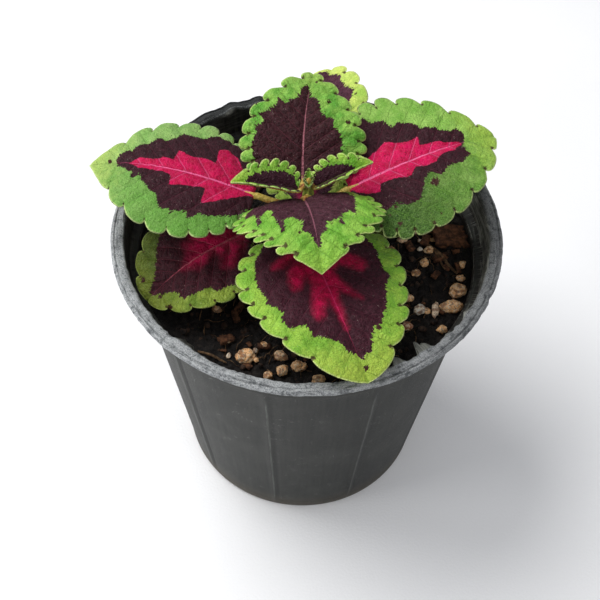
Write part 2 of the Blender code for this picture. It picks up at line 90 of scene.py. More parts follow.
class Nodes:  # short ways to add and join shader nodes in one tree
    def __init__(self, tree):
        self.tree = tree

    def add(self, kind, inputs=(), **settings):
        node = self.tree.nodes.new(kind)
        for key, value in settings.items():
            setattr(node, key, value)
        for key, value in dict(inputs).items():
            self.put(node.inputs[key], value)
        return node

    def put(self, socket, value):  # colours are given as a screen shows them
        if isinstance(value, Value):
            self.tree.links.new(value.socket, socket)
        else:
            socket.default_value = screen(*value) if socket.type == "RGBA" else value

    def made(self, kind, values, output=0, **settings):  # a new node's output, its inputs filled in order
        node = self.add(kind, enumerate(values), **settings)
        return Value(self, node.outputs[output])

    def math(self, operation, *values):
        return self.made("ShaderNodeMath", values, operation=operation)

    def vector(self, operation, *values):
        output = 1 if operation == "LENGTH" else 0
        return self.made("ShaderNodeVectorMath", values, output, operation=operation)

    def moved(self, place, by):
        return self.vector("ADD", place, by)

    def stretched(self, place, by):
        return self.vector("MULTIPLY", place, by)

    def scaled(self, place, factor):
        node = self.add("ShaderNodeVectorMath", {0: place, "Scale": factor}, operation="SCALE")
        return Value(self, node.outputs[0])

    def mix(self, factor, first, second, mode="MIX"):
        node = self.add("ShaderNodeMix", data_type="RGBA", blend_type=mode)
        for index, value in ((0, factor), (6, first), (7, second)):
            self.put(node.inputs[index], value)
        return Value(self, node.outputs[2])

    def layers(self, color, *rows):  # colours laid over the first one, each where its mask is 1
        for mask, over in rows:
            color = self.mix(mask, color, over)
        return color

    def ramp(self, value, low, high, start=0.0, end=1.0, kind="SMOOTHSTEP"):
        return self.made("ShaderNodeMapRange", (value, low, high, start, end), interpolation_type=kind)

    def near(self, value, middle, low, high):  # 1 where the value is near the middle, fading to 0
        return self.ramp(self.math("ABSOLUTE", value - middle), low, high, 1.0, 0.0)

    def larger(self, first, second):
        return self.math("MAXIMUM", first, second)

    def noise(self, place, scale, detail=2.0, roughness=0.5, distortion=0.0):
        node = self.add("ShaderNodeTexNoise", {
            "Vector": place, "Scale": scale, "Detail": detail,
            "Roughness": roughness, "Distortion": distortion})
        return Value(self, node.outputs[0])

    def cells(self, place, scale, feature="F1"):
        node = self.add("ShaderNodeTexVoronoi", {"Vector": place, "Scale": scale}, feature=feature)
        return Value(self, node.outputs["Distance"])

    def field(self, name):  # a value that the piece's own mesh carries
        return Value(self, self.add("ShaderNodeAttribute", attribute_name=name).outputs["Fac"])

    def flat(self):  # the piece's own UV map
        return self.made("ShaderNodeUVMap", (), uv_map="flat")

    def place(self):
        return Value(self, self.add("ShaderNodeTexCoord").outputs["Object"])

    def apart(self, place):
        return [Value(self, socket) for socket in self.add("ShaderNodeSeparateXYZ", {0: place}).outputs]

    def together(self, x, y, z):
        return self.made("ShaderNodeCombineXYZ", (x, y, z))

    def use(self, group, **inputs):
        node = self.add("ShaderNodeGroup", node_tree=group)
        for key, value in inputs.items():
            self.put(node.inputs[key], value)
        return [Value(self, socket) for socket in node.outputs]


kinds = {"c": "NodeSocketColor", "f": "NodeSocketFloat", "v": "NodeSocketVector"}


def newGroup(name, inputs):  # each input is written as kind and name, such as "f seed"
    tree = bpy.data.node_groups.new(name, "ShaderNodeTree")
    outputs = ("c Color", "f Roughness", "f Bump Height")
    for way, labels in (("INPUT", inputs), ("OUTPUT", outputs)):
        for label in labels:
            tree.interface.new_socket(label[2:], in_out=way, socket_type=kinds[label[0]])
    nodes = Nodes(tree)
    entry = {socket.name: Value(nodes, socket) for socket in nodes.add("NodeGroupInput").outputs}
    return tree, nodes, entry


def finishGroup(nodes, color, roughness, height):
    nodes.add("NodeGroupOutput", enumerate((color, roughness, height)))


def newMaterial(name, **fixed):  # fixed values go straight onto the shader's sockets
    made = bpy.data.materials.new(name)
    made.use_nodes = True
    nodes = Nodes(made.node_tree)
    shader = made.node_tree.nodes["Principled BSDF"]
    for key, value in fixed.items():
        nodes.put(shader.inputs[key.replace("_", " ")], value)
    return made, nodes, shader


def finishShader(nodes, shader, color, roughness, height, depth=mm):  # height is in units of depth
    nodes.put(shader.inputs["Base Color"], color)
    nodes.put(shader.inputs["Roughness"], roughness)
    bump = nodes.add("ShaderNodeBump", {"Height": height, "Distance": depth, "Strength": 1.0})
    nodes.put(shader.inputs["Normal"], Value(nodes, bump.outputs[0]))


# The leaves. Lengths are in millimetres, angles in degrees. On the flat blade x is to the left of the midrib
# and y along it. purple and pink outline its coloured zones, and the rest of it is green. cuts: where the
# notches lie along each side of the margin, from the base at 0 to the tip at 1. stem: how high and on which
# side the stalk leaves the stem.
leafGrid = dict(rowsPerTooth=12, columns=36, sideVeins=7.5, thickness=0.55, petioleSides=14)
# How far the blade swells between veins, sinks along its midrib, puckers, waves and turns down at its edge
relief = dict(swell=0.62, groove=0.45, pucker=0.30, wave=0.5, edge=0.35)
leaves = {
    "leaf_left_lower": dict(
        stem=(120.5, 180), base=(-22.6, -4.9, 126.2), heading=216, turn=4, length=43.0, halfWidth=22.4,
        rise=6, tipRise=-36, roll=(3, -2), fold=11, droop=-10, fullness=0.82, taper=0.2, shoulder=1.05,
        teeth=9, toothDepth=1.3, look='shaded', seed=3,
        purple=[(6, 0.5), (13, 4), (17, 9), (18.6, 16), (17.5, 19), (17.4, 22.6), (14, 23), (13.4, 26),
                (12, 30), (11, 32.5), (6, 33.5), (4, 36.5), (0, 40.3), (-1.6, 39.5), (-3, 36), (-6, 33),
                (-10, 29.5), (-15, 25.5), (-18, 21), (-18, 14), (-14, 6), (-6, 0.5)],
        pink=[(2, 0.5), (7, 5), (11.5, 12), (10, 14.5), (5, 11.5), (2.5, 14), (4.5, 21), (1, 25.5),
              (-2, 21), (-6.5, 19.5), (-8, 14), (-5, 5), (-2, 0.5)],
        spots=[(9.5, 38, 1.0), (3.5, 38.2, 0.7), (-6, 38.5, 0.9)]),
    "leaf_right_lower": dict(
        stem=(120.5, 0), base=(14.3, 4.8, 126.0), heading=27, turn=-4, length=38.0, halfWidth=16.0,
        rise=7, tipRise=-23, roll=(0, 0), fold=8, droop=-12, fullness=0.8, taper=0.5, shoulder=1.1,
        teeth=9, toothDepth=1.2, look='shaded', seed=5,
        purple=[(4, 0.5), (9, 4), (12, 10), (12, 17), (9.5, 19), (9, 24), (6, 28), (1, 34), (-1, 33.5),
                (-5, 30), (-6, 26), (-9.5, 24), (-12, 18), (-12, 10), (-9, 4), (-4, 0.5)],
        pink=[(2, 0.5), (6, 8), (3, 10), (4, 16), (0, 24), (-4, 17), (-3, 10), (-6, 8), (-2, 0.5)],
        spots=[(6, 31, 0.7)]),
    "leaf_front_lower": dict(
        stem=(126.5, 270), base=(-1.3, -10.3, 133.3), heading=-71.5, turn=4.5, length=62.7,
        halfWidth=28.5, rise=7, tipRise=-18.5, roll=(0, -7), fold=12, droop=-19, fullness=0.78,
        taper=0.27, shoulder=1.16, toothDepth=1.6, look='crimson', seed=8,
        cuts={1: (0, 0.12, 0.24, 0.351, 0.448, 0.53, 0.613, 0.685, 0.77, 1),
              -1: (0, 0.1, 0.2, 0.296, 0.396, 0.466, 0.529, 0.625, 0.724, 1)},
        purple=[(12, 0.5), (18, 4), (20.5, 12), (21.5, 16), (20.5, 21), (21, 25), (22.5, 27), (19, 31),
                (17, 36), (15.5, 39.5), (12.5, 43.5), (11, 45.7), (9, 45.6), (6.5, 49), (5, 53),
                (2.3, 54), (1, 55.7), (-0.5, 52.5), (-3, 51.5), (-5, 46.5), (-8.5, 45), (-12, 43.5),
                (-13, 39), (-16, 38.8), (-19, 38.5), (-19.5, 34), (-18, 32), (-20, 29), (-22, 27),
                (-21.5, 24), (-22.5, 21), (-22, 15), (-20.5, 10), (-17, 5), (-12, 0.5)],
        pink=[(4, 2), (7.5, 13), (11, 15.5), (15, 19.5), (15.2, 21.8), (13, 23), (10, 21), (6.5, 17.5),
              (3.5, 21), (4.2, 25.5), (8.5, 34), (3, 28.5), (1.3, 31), (1, 37), (0, 43), (-0.9, 36),
              (-1.6, 31.5), (-4.6, 34.5), (-6.4, 37.6), (-8.2, 38), (-8.8, 35.6), (-7.4, 31), (-5, 25),
              (-5.6, 20.5), (-8, 22.5), (-10, 25), (-11.8, 24.6), (-12, 21.5), (-10.6, 17), (-7.5, 12.5),
              (-12, 14.5), (-15.5, 14.5), (-14.5, 12.5), (-9.5, 9.5), (-4, 2)],
        spots=[(1, 58, 0.9), (9.8, 46.3, 0.9)]),
    "leaf_back_lower": dict(
        stem=(126.5, 90), base=(-1.2, 9.3, 126.5), heading=81, turn=0, length=60.0, halfWidth=22.1,
        rise=30, tipRise=-7, roll=(-27, -23), fold=10, droop=-6, fullness=0.81, taper=0.3, shoulder=1.07,
        teeth=10, toothDepth=1.5, look='sunlit', seed=13,
        purple=[(5, 1), (13, 8), (17, 18), (17, 30), (13.5, 40), (10, 47), (8, 52), (4, 57.5),
                (1.5, 57.3), (0, 55.5), (-2.3, 54), (-5.5, 53), (-6.2, 49.5), (-8.7, 46), (-12.2, 44),
                (-12.6, 40), (-11.6, 36), (-14, 32), (-16, 24), (-16, 14), (-10, 4), (-4, 1)],
        pink=[(3, 1), (7, 12), (4, 16), (5, 24), (0, 36), (-5, 24), (-4, 16), (-7, 12), (-3, 1)],
        spots=[(-7, 53.5, 0.7), (-14, 41, 0.6)]),
    "leaf_left_upper": dict(
        stem=(135.5, 180), base=(-18.5, 1.1, 140.3), heading=171.5, turn=-2.5, length=61.7,
        halfWidth=27.5, rise=19.5, tipRise=-25, roll=(6, -1), fold=0, droop=-11, fullness=0.82,
        taper=1.29, shoulder=1.03, toothDepth=1.6, tipBulge=0.2, look='hotLeft', seed=21,
        cuts={1: (0, 0.068, 0.138, 0.21, 0.284, 0.362, 0.443, 0.527, 0.618, 0.71, 1),
              -1: (0, 0.07, 0.142, 0.215, 0.29, 0.368, 0.45, 0.535, 0.625, 0.725, 1)},
        purple=[(8, 0.5), (13.5, 4.5), (15, 9), (17, 13.5), (17, 17), (20, 18.7), (20, 19.8), (17, 20.5),
                (17.6, 24), (19.5, 25.3), (18, 26.5), (18, 30), (13, 32), (11, 35), (8, 38.5), (5, 40),
                (7.3, 41.5), (6.8, 43), (4.5, 42.5), (2, 49), (0, 50.2), (-3.5, 50), (-6, 46.5),
                (-10, 43), (-11, 40), (-14, 38.5), (-13.5, 34.5), (-16, 32.5), (-19, 31), (-19, 27),
                (-20, 22), (-23, 19), (-22.3, 15), (-21, 10), (-18, 4), (-10, 0.5)],
        pink=[(2, 2), (6, 7.5), (9.5, 12), (12, 17), (5.5, 16.8), (5.5, 19), (6.5, 24), (8, 29),
              (3.5, 29.4), (2.3, 33), (2.3, 41), (0, 45.3), (-2.4, 42.5), (-2.7, 37), (-4.3, 34),
              (-4, 30.3), (-9.3, 30), (-7.6, 25), (-8.8, 21), (-7.6, 16), (-15.5, 16.2), (-17.2, 13),
              (-14.5, 9), (-10, 6), (-3, 2)],
        spots=[(-0.5, 53, 0.9)]),
    "leaf_right_upper": dict(
        stem=(135.5, 0), base=(14.0, 3.8, 141.7), heading=16.5, turn=9, length=56.8, halfWidth=28.9,
        rise=22, tipRise=-13, roll=(8, 2), fold=3, droop=-2, fullness=0.8, taper=0.68, shoulder=1.14,
        teeth=11, toothDepth=1.6, tipBulge=0.4, look='hotRight', seed=34,
        purple=[(10, 0.5), (20, 4), (24, 10), (24, 14.5), (20, 17), (20, 21.3), (15.5, 22.3), (16.5, 26),
                (15, 29), (11, 32), (9, 37), (6.5, 39), (6, 44), (1.5, 45.3), (-1.5, 42.5), (-5.5, 43.3),
                (-8, 40), (-8, 34), (-10.3, 30.5), (-7.5, 27.5), (-10, 24.2), (-13, 23), (-15.5, 21),
                (-16.8, 16), (-14, 13), (-15, 8), (-13, 4), (-9, 0.5)],
        pink=[(3.5, 0.5), (5, 4.5), (6.5, 9), (8.5, 13), (10.6, 18), (8.5, 22), (7, 25), (8, 29.7),
              (3.8, 28.5), (3.4, 35), (1.5, 38), (0.8, 42), (-0.5, 43), (-2, 39), (-2.5, 33), (-4.7, 31),
              (-4.6, 27.5), (-3.5, 24), (-6, 21.3), (-4.5, 15), (-4, 10.5), (-7.3, 9.5), (-6, 5.5),
              (-3, 2), (-1.5, 0.5)],
        spots=[(-12.3, 27.3, 1.5), (-22, 11, 0.8), (-15.2, 12, 0.7), (-17.5, 9, 0.5), (-24.5, 24, 0.5)]),
    "leaf_back_upper": dict(
        stem=(142.5, 90), base=(-2.0, 3.4, 143.7), heading=93, turn=-14, length=43.3, halfWidth=21.5,
        rise=37.5, tipRise=-1, roll=(3, 1), fold=5, droop=-8, fullness=0.77, taper=0.78, shoulder=1.12,
        teeth=11, toothDepth=1.5, look='back', seed=55,
        purple=[(5, 0.4), (12, 3), (16, 6.5), (17.8, 10.5), (18, 14), (16.5, 17), (17, 19), (14, 20.5),
                (17, 23.3), (13, 24.5), (11.5, 26.5), (10, 29.5), (7.5, 28), (4, 30.5), (3, 34),
                (1.5, 36.2), (0, 35.5), (-1.2, 32), (-4, 31), (-5, 26.5), (-7, 24), (-9.5, 24.5),
                (-10.5, 20.5), (-13, 18), (-13.6, 12), (-14.5, 7.5), (-12, 3), (-5, 0.4)],
        pink=[], spots=[(-2, 38.5, 0.6), (-7.5, 30.5, 0.6), (17.5, 27, 0.8), (-15, 23, 0.9)]),
    "leaf_front_upper": dict(
        stem=(142.5, 270), base=(-1.7, -4.4, 144.8), heading=-78.5, turn=-2, length=40.2, halfWidth=26.2,
        rise=37, tipRise=-39, roll=(2, -2), fold=12, droop=-29, fullness=0.75, taper=1.02, shoulder=1.22,
        toothDepth=2.3, tipBulge=0, look='front', seed=89,
        cuts={1: (0, 0.1, 0.2, 0.3, 0.383, 0.455, 0.522, 0.595, 0.662, 0.724, 1),
              -1: (0, 0.13, 0.26, 0.375, 0.46, 0.547, 0.59, 0.635, 0.688, 0.745, 1)},
        purple=[(13, 0.4), (17, 5), (16, 10), (15.2, 14), (14.6, 20.5), (13.6, 20.5), (13, 18),
                (10, 18.5), (9.6, 24), (8.8, 24.5), (8.3, 21.5), (4.5, 22), (3.6, 25.5), (1.8, 27),
                (0.3, 31.5), (-0.8, 29), (-2, 26.5), (-4.3, 24.5), (-3.8, 21), (-5.5, 19), (-9.5, 18.5),
                (-10, 24), (-11, 24), (-11.8, 18.5), (-13, 16.5), (-12.5, 12.5), (-15, 11.5), (-16.5, 14),
                (-17.3, 20), (-18.2, 19.5), (-17.8, 13), (-19.5, 9.5), (-21.5, 9), (-21, 5), (-17, 1)],
        pink=[], spots=[(-5.2, 25.3, 0.5), (5.6, 23.6, 0.4)]),
    "leaf_left_inner": dict(
        stem=(146.0, 180), base=(-3.4, -2.2, 146.3), heading=183, turn=-1, length=23.5, halfWidth=8.5,
        rise=18.5, tipRise=0, roll=(1, -1), fold=50, droop=35, fullness=0.78, taper=0.77, shoulder=1.1,
        toothDepth=1.15, tipBulge=0, look='tender', seed=144,
        cuts=dict.fromkeys((1, -1), (0, 0.11, 0.21, 0.31, 0.41, 0.5, 0.59, 0.68, 1)),
        purple=[(2, 0.3), (6.6, 1.0), (7.8, 5), (7.6, 9), (6.3, 13), (3.8, 16), (0, 18.5), (-2, 17.5),
                (-3.9, 14), (-4.6, 11), (-5.2, 8), (-5.2, 5), (-4, 2), (-1, 0.3)],
        pink=[], spots=[]),
    "leaf_right_inner": dict(
        stem=(146.0, 0), base=(2.6, -1.0, 146.8), heading=16, turn=2.5, length=21.2, halfWidth=7.2,
        rise=24.5, tipRise=12, roll=(-1, 0), fold=50, droop=35, fullness=0.79, taper=0.74, shoulder=1.07,
        toothDepth=1.1, tipBulge=0, look='tender', seed=233,
        cuts=dict.fromkeys((1, -1), (0, 0.11, 0.21, 0.31, 0.41, 0.51, 0.61, 0.72, 1)),
        purple=[(2.5, 0.3), (4.9, 2.5), (4.7, 7), (4.1, 10), (2.4, 13), (0, 15), (-2.8, 13.8), (-5.6, 10),
                (-6.6, 5), (-4.6, 0.6)],
        pink=[], spots=[]),
}
# The looks of the leaves: colours as a screen shows them. pinkEdge: how softly the pink fades, in
# millimetres. The shade colour, side and reach lay painted shade on one side of the blade, darkest at the
# base. bead: how far teeth bulge.
plainLook = dict(
    shadeSide=0, shadeReach=0.72, pink=(150, 20, 70), pinkDeep=(110, 10, 50), pinkEdge=1.0,
    veinWidth=0.26, bead=0.6)
leafLooks = {
    "hotLeft": dict(
        plainLook, greenLight=(146, 182, 102), greenDeep=(120, 166, 82), tip=(168, 190, 96),
        rim=(196, 212, 140), shade=(84, 140, 44), shadeSide=1, shadeReach=1.5, purple=(36, 7, 14),
        purpleLight=(58, 24, 34), purpleVein=(72, 28, 40), pink=(196, 0, 74), pinkDeep=(168, 0, 56),
        vein=(230, 98, 148), pinkEdge=0.22, notch=0.7, fleck=0.8, veinWidth=0.3),
    "hotRight": dict(
        plainLook, greenLight=(148, 190, 90), greenDeep=(114, 166, 62), tip=(160, 190, 74),
        rim=(190, 210, 132), shade=(2, 40, 0), shadeSide=-1, shadeReach=1.2, purple=(36, 7, 14),
        purpleLight=(58, 24, 34), purpleVein=(72, 28, 40), pink=(204, 4, 80), pinkDeep=(178, 0, 60),
        vein=(232, 106, 152), pinkEdge=0.22, notch=1.2, fleck=1.3, veinWidth=0.3),
    "crimson": dict(
        plainLook, greenLight=(150, 190, 70), greenDeep=(112, 164, 50), tip=(166, 186, 72),
        rim=(204, 218, 136), shade=(118, 172, 62), purple=(42, 10, 20), purpleLight=(72, 34, 46),
        purpleVein=(80, 32, 46), pink=(200, 12, 74), pinkDeep=(150, 6, 50), vein=(206, 50, 100),
        pinkEdge=2.0, notch=1.5, fleck=0.7, veinWidth=0.24),
    # Painted shade: darker copies of the leaf colours, for the two lower side leaves that lie in shade
    "shaded": dict(
        plainLook, greenLight=(132, 152, 56), greenDeep=(88, 114, 30), tip=(104, 114, 42),
        rim=(150, 166, 84), shade=(50, 58, 14), shadeSide=-1, shadeReach=3.0, purple=(34, 4, 12),
        purpleLight=(58, 16, 26), purpleVein=(82, 30, 42), pink=(190, 12, 76), pinkDeep=(140, 6, 52),
        vein=(186, 88, 104), pinkEdge=3.0, notch=0.9, fleck=0.8, veinWidth=0.3, bead=0.5),
    # Painted light: lighter copies of the leaf colours, for the back lower leaf that stands in the light
    "sunlit": dict(
        plainLook, greenLight=(196, 214, 104), greenDeep=(152, 190, 74), tip=(204, 218, 112),
        rim=(214, 224, 146), shade=(150, 190, 76), purple=(50, 16, 32), purpleLight=(86, 46, 62),
        purpleVein=(96, 50, 66), vein=(136, 82, 98), pinkEdge=2.0, notch=0.9, fleck=1.3),
    "back": dict(
        plainLook, greenLight=(138, 184, 78), greenDeep=(86, 152, 48), tip=(150, 182, 84),
        rim=(182, 206, 118), shade=(104, 160, 60), purple=(36, 7, 12), purpleLight=(58, 24, 30),
        purpleVein=(82, 38, 46), vein=(160, 98, 108), notch=1.3, fleck=2.1, bead=1.0),
    "front": dict(
        plainLook, greenLight=(144, 192, 76), greenDeep=(104, 164, 50), tip=(150, 194, 72),
        rim=(200, 214, 130), shade=(120, 172, 64), purple=(46, 16, 24), purpleLight=(82, 46, 58),
        purpleVein=(94, 52, 64), vein=(140, 86, 100), notch=1.5, fleck=0.8, veinWidth=0.24, bead=0.18),
    "tender": dict(
        plainLook, greenLight=(152, 196, 74), greenDeep=(100, 160, 44), tip=(176, 204, 84),
        rim=(196, 214, 128), shade=(112, 168, 54), purple=(40, 10, 20), purpleLight=(68, 34, 46),
        purpleVein=(78, 42, 54), vein=(112, 122, 66), notch=0.7, fleck=1.6, veinWidth=0.18, bead=1.1),
}


def makeLeafGroup():
    tree, n, entry = newGroup("leafSurface", (
        "c greenLight", "c greenDeep", "c tip", "c shade", "f shadeSide", "f shadeReach", "c rim",
        "c purple", "c purpleLight", "c purpleVein", "c pink", "c pinkDeep", "f pinkEdge", "c vein",
        "f veinWidth", "f notch", "f fleck", "f seed"))
    flat = n.scaled(n.flat(), 100.0)  # the flat blade in millimetres
    at = n.moved(flat, n.together(entry["seed"], entry["seed"], 0.0))
    wobble, jag = n.noise(at, 0.42, 2.0) - 0.5, n.noise(at, 1.45, 2.5, 0.6) - 0.5
    across, along, edge = n.field("across"), n.field("along"), n.field("edge")
    isLeft = n.math("GREATER_THAN", n.apart(flat)[0], 50.0)
    fingers = n.together(
        n.field("veins") * n.field("spacing") * 1.25, across * 0.42, isLeft * 37.0 + entry["seed"])
    finger = n.noise(fingers, 1.0, 1.5, 0.5) - 0.5
    # Ragged zones of colour
    purple = n.field("purple") + wobble * 1.4 + finger * 2.7 + jag * 1.9
    isPurple = n.ramp(purple, -0.09, 0.09)
    isPink = n.ramp(
        n.field("pink") + wobble * 0.9 + jag * 0.7, entry["pinkEdge"] * -1.0, entry["pinkEdge"])
    spot = n.ramp(n.field("spot") + jag * 2.6, -0.12, 0.12)
    # Dark marks at the notches: partly the leaf's own purple, partly painted shade in the deep notches
    notch = n.ramp(n.field("notch") / entry["notch"] + jag * 1.6, 0.35, 0.75, 0.9, 0.0)
    fleck = (n.cells(at, 0.75) + jag * 0.6) / entry["fleck"]
    fleck = n.ramp(fleck, 0.05, 0.12, 1.0, 0.0) * n.ramp(purple, -2.9, -1.0)
    dark = n.larger(n.larger(notch, fleck * 0.8), spot)
    # Veins: midrib, side veins and the net between them
    midWidth = entry["veinWidth"] * n.ramp(along, 0.0, 0.85, 1.9, 0.35, "LINEAR")
    midrib = n.ramp((across + wobble * 0.25) / midWidth, 0.55, 1.15, 1.0, 0.0)
    line = n.math("FRACT", n.field("veins") + wobble * 0.10 + 0.5)
    line = n.math("ABSOLUTE", line - 0.5) * n.field("spacing")
    sideWidth = entry["veinWidth"] * n.ramp(edge, 0.5, 14.0, 0.35, 1.1, "LINEAR")
    side = n.ramp(line / sideWidth, 0.45, 1.2, 1.0, 0.0)
    anyVein = n.larger(side, midrib)
    wavy = n.moved(at, n.together(wobble * 1.6, jag * 0.6, 0.0))
    mesh, fine = n.cells(wavy, 0.52, "DISTANCE_TO_EDGE"), n.cells(wavy, 1.35, "DISTANCE_TO_EDGE")
    net, fineNet = n.ramp(mesh, 0.015, 0.10, 1.0, 0.0), n.ramp(fine, 0.01, 0.13, 1.0, 0.0)
    # Green, purple and pink
    # Painted shade: one side of the blade is darkened from its base along, where it lies in shade
    shade = n.ramp((isLeft * 2.0 - 1.0) * entry["shadeSide"], 0.4, 0.6)
    shade = shade * n.ramp(along + wobble * 0.3, 0.15, entry["shadeReach"], 0.9, 0.0)
    green = n.layers(
        n.mix(n.ramp(n.noise(at, 0.16, 3.0), 0.36, 0.64), entry["greenDeep"], entry["greenLight"]),
        (shade, entry["shade"]),
        (n.ramp(along + wobble * 0.25, 0.70, 0.97, 0.0, 0.85), entry["tip"]),
        (net * 0.22, n.mix(0.5, entry["greenDeep"], (40, 84, 24))),
        (fineNet * 0.18, entry["greenLight"]),
        # A pale rim along the margin: partly the edge's own paler green, partly a painted highlight
        (n.ramp(edge + jag * 0.5, 0.10, 0.58, 0.80, 0.0), entry["rim"]),
        (anyVein * 0.30, entry["greenDeep"]))
    plum = n.layers(
        entry["purple"],
        (n.ramp(n.noise(at, 0.7, 4.0, 0.65), 0.36, 0.68) * 0.55, entry["purpleLight"]),
        (fineNet * 0.35, entry["purpleLight"]),
        (net * 0.40, entry["purpleVein"]),
        (anyVein * 0.75, entry["purpleVein"]))
    bright = n.mix(n.ramp(n.noise(at, 0.30, 3.0), 0.35, 0.65), entry["pinkDeep"], entry["pink"])
    bright = n.mix(n.larger(side, net * 0.25) * 0.40, bright, entry["vein"])
    # Short hairs catch the light as tiny pale specks, most of them where the purple ends
    border = n.ramp(n.math("ABSOLUTE", purple), 0.2, 1.1, 0.16, 0.0)
    hairy = n.ramp(n.noise(at, 0.7, 2.0) + border, 0.55, 0.66)
    speck = n.ramp(n.cells(at, 1.6), 0.06, 0.20, 1.0, 0.0) * hairy
    color = n.layers(
        green,
        (isPurple, plum),
        (isPink * isPurple, bright),
        (midrib * n.ramp(along, 0.55, 0.80, 0.95, 0.15, "LINEAR") * isPurple, entry["vein"]),
        (dark, n.mix(0.5, entry["purple"], (70, 38, 24))),
        (speck * 0.62, (218, 212, 192)))
    grit = n.ramp(n.noise(at, 2.6, 3.0, 0.7), 0.36, 0.64, 0.74, 1.22, "LINEAR")
    color = n.mix(1.0, color, n.together(grit, grit, grit), "MULTIPLY")
    pale = n.layers(color, (0.55, (150, 158, 112)), (anyVein * 0.6, (176, 186, 132)))
    color = n.mix(n.ramp(n.field("under"), 0.3, 0.7), color, pale)
    # Puckers between the veins, in millimetres
    height = n.ramp(mesh, 0.0, 0.42) * (0.26 - isPurple * 0.10) + n.ramp(fine, 0.0, 0.40) * 0.16
    height = height - side * 0.22 - midrib * 0.12 + n.noise(at, 3.2, 3.0) * 0.07 + speck * 0.05
    finishGroup(n, color, n.noise(at, 1.1, 3.0) * 0.30 + 0.30 + isPurple * 0.08, height)
    return tree


leafGroup = makeLeafGroup()


def leafMaterial(name, look, seed):
    made, n, shader = newMaterial(
        name, IOR=1.42, Specular_IOR_Level=0.20, Sheen_Weight=0.02, Sheen_Roughness=0.4,
        Sheen_Tint=(230, 210, 225))
    inputs = {key: value for key, value in look.items() if key != "bead"}
    finishShader(n, shader, *n.use(leafGroup, seed=seed, **inputs))
    return made


def makeStalkMaterial(name, light, deep, blush):
    made, n, shader = newMaterial(name, IOR=1.42, Specular_IOR_Level=0.45)
    place = n.place()
    streak = n.ramp(n.noise(n.stretched(place, (1.0, 1.0, 0.25)), 1500.0, 3.0), 0.34, 0.66)
    hair = n.ramp(n.cells(place, 2300.0), 0.06, 0.2, 1.0, 0.0)
    color = n.layers(
        n.mix(streak, deep, light),
        (n.ramp(n.noise(place, 260.0, 2.0), 0.46, 0.66, 0.0, 0.75), blush),
        (hair * 0.4, (222, 222, 186)))
    finishShader(n, shader, color, n.ramp(streak, 0.0, 1.0, 0.58, 0.40), streak * 0.10 + hair * 0.08)
    return made


# The light, deep and blush colours of the stalks and of the stem
stalkMaterial = makeStalkMaterial("stalk", (214, 190, 98), (164, 142, 52), (186, 84, 56))
stemMaterial = makeStalkMaterial("stem", (142, 156, 62), (84, 104, 34), (104, 48, 52))


def toSegments(points, line):  # distance from each point to a line of points
    start, along = line[:-1], line[1:] - line[:-1]
    size = np.maximum((along ** 2).sum(1), 1e-12)
    offset = points[:, None, :] - start
    share = np.clip((offset * along).sum(2) / size, 0, 1)
    return np.sqrt(((offset - share[..., None] * along) ** 2).sum(2)).min(1)


def depthInside(points, ring):  # how deep each point lies in a zone of the blade, negative outside it
    if not ring:
        return np.full(len(points), -50.0)
    start, end = (ring[0][0], -5), (ring[-1][0], -5)  # every zone runs on past the base of the blade
    ring = np.array([start] + list(ring) + [end, start], float)
    x, y = points.T
    inside = np.zeros(len(points), bool)
    for (x1, y1), (x2, y2) in zip(ring[:-1], ring[1:]):
        if y1 != y2:
            inside ^= ((y1 > y) != (y2 > y)) & (x < (x2 - x1) * (y - y1) / (y2 - y1) + x1)
    distance = toSegments(points, ring)
    return np.where(inside, distance, -distance)


def leafFrames(leaf, steps=48):  # the bent midrib, as points with their sideways and upward directions
    frames = []
    point = Vector(leaf["base"])
    for index in range(steps + 1):
        share = index / steps
        pitch = math.radians(leaf["rise"] + (leaf["tipRise"] - leaf["rise"]) * share ** 1.5)
        yaw = math.radians(leaf["heading"] + leaf["turn"] * share)
        roll = math.radians(leaf["roll"][0] + (leaf["roll"][1] - leaf["roll"][0]) * share)
        along = Vector((math.cos(pitch) * math.cos(yaw), math.cos(pitch) * math.sin(yaw), math.sin(pitch)))
        if index:
            point = point + (along + before).normalized() * leaf["length"] / steps
        before = along
        level = Vector((-math.sin(yaw), math.cos(yaw), 0.0))
        over = along.cross(level)
        side = level * math.cos(roll) + over * math.sin(roll)
        up = over * math.cos(roll) - level * math.sin(roll)
        frames.append((point, side, up))
    return frames


def onBlade(leaf, frames, x, y, lift):  # where a point of the flat blade lies on the bent one, lifted off it
    share = min(max(y / leaf["length"], 0.0), 1.0) * (len(frames) - 1)
    low = min(int(share), len(frames) - 2)
    point, side, up = (a.lerp(b, share - low) for a, b in zip(frames[low], frames[low + 1]))
    fold, droop = math.radians(leaf["fold"]), math.radians(leaf["droop"])
    curl = (droop - fold) / leaf["halfWidth"]
    end = fold + curl * abs(x)
    out = (math.sin(end) - math.sin(fold)) / curl
    rise = (math.cos(fold) - math.cos(end)) / curl
    outward = math.copysign(1.0, x)
    out, rise = out - lift * math.sin(end), rise + lift * math.cos(end)
    return point + side * (out * outward) + up * rise


def outline(leaf, p):
    y = leaf["length"] * ((1 - math.cos(math.pi * p)) / 2) ** leaf["shoulder"]
    x = leaf["halfWidth"] * max(math.sin(math.pi * p ** leaf["fullness"]), 0.0) ** (1 + leaf["taper"] * p)
    return Vector((x, y))


def toothOf(row, teeth, perTooth, tipRows):  # which tooth a row of the grid lies in, and how far along it
    tooth = min(row // perTooth, teeth - 1)
    rows = perTooth * (tipRows if tooth == teeth - 1 else 1)
    return tooth, (1 - math.cos(math.pi * (row - tooth * perTooth) / rows)) / 2


def marginAt(leaf, side, tooth, share):  # the same on the whole margin, from the base at 0 to the tip at 1
    if "cuts" in leaf:
        start, end = leaf["cuts"][side][tooth:tooth + 2]
        return start + (end - start) * share
    return 1 - (1 - (tooth + share) / leaf["teeth"]) ** (1 / 1.35)


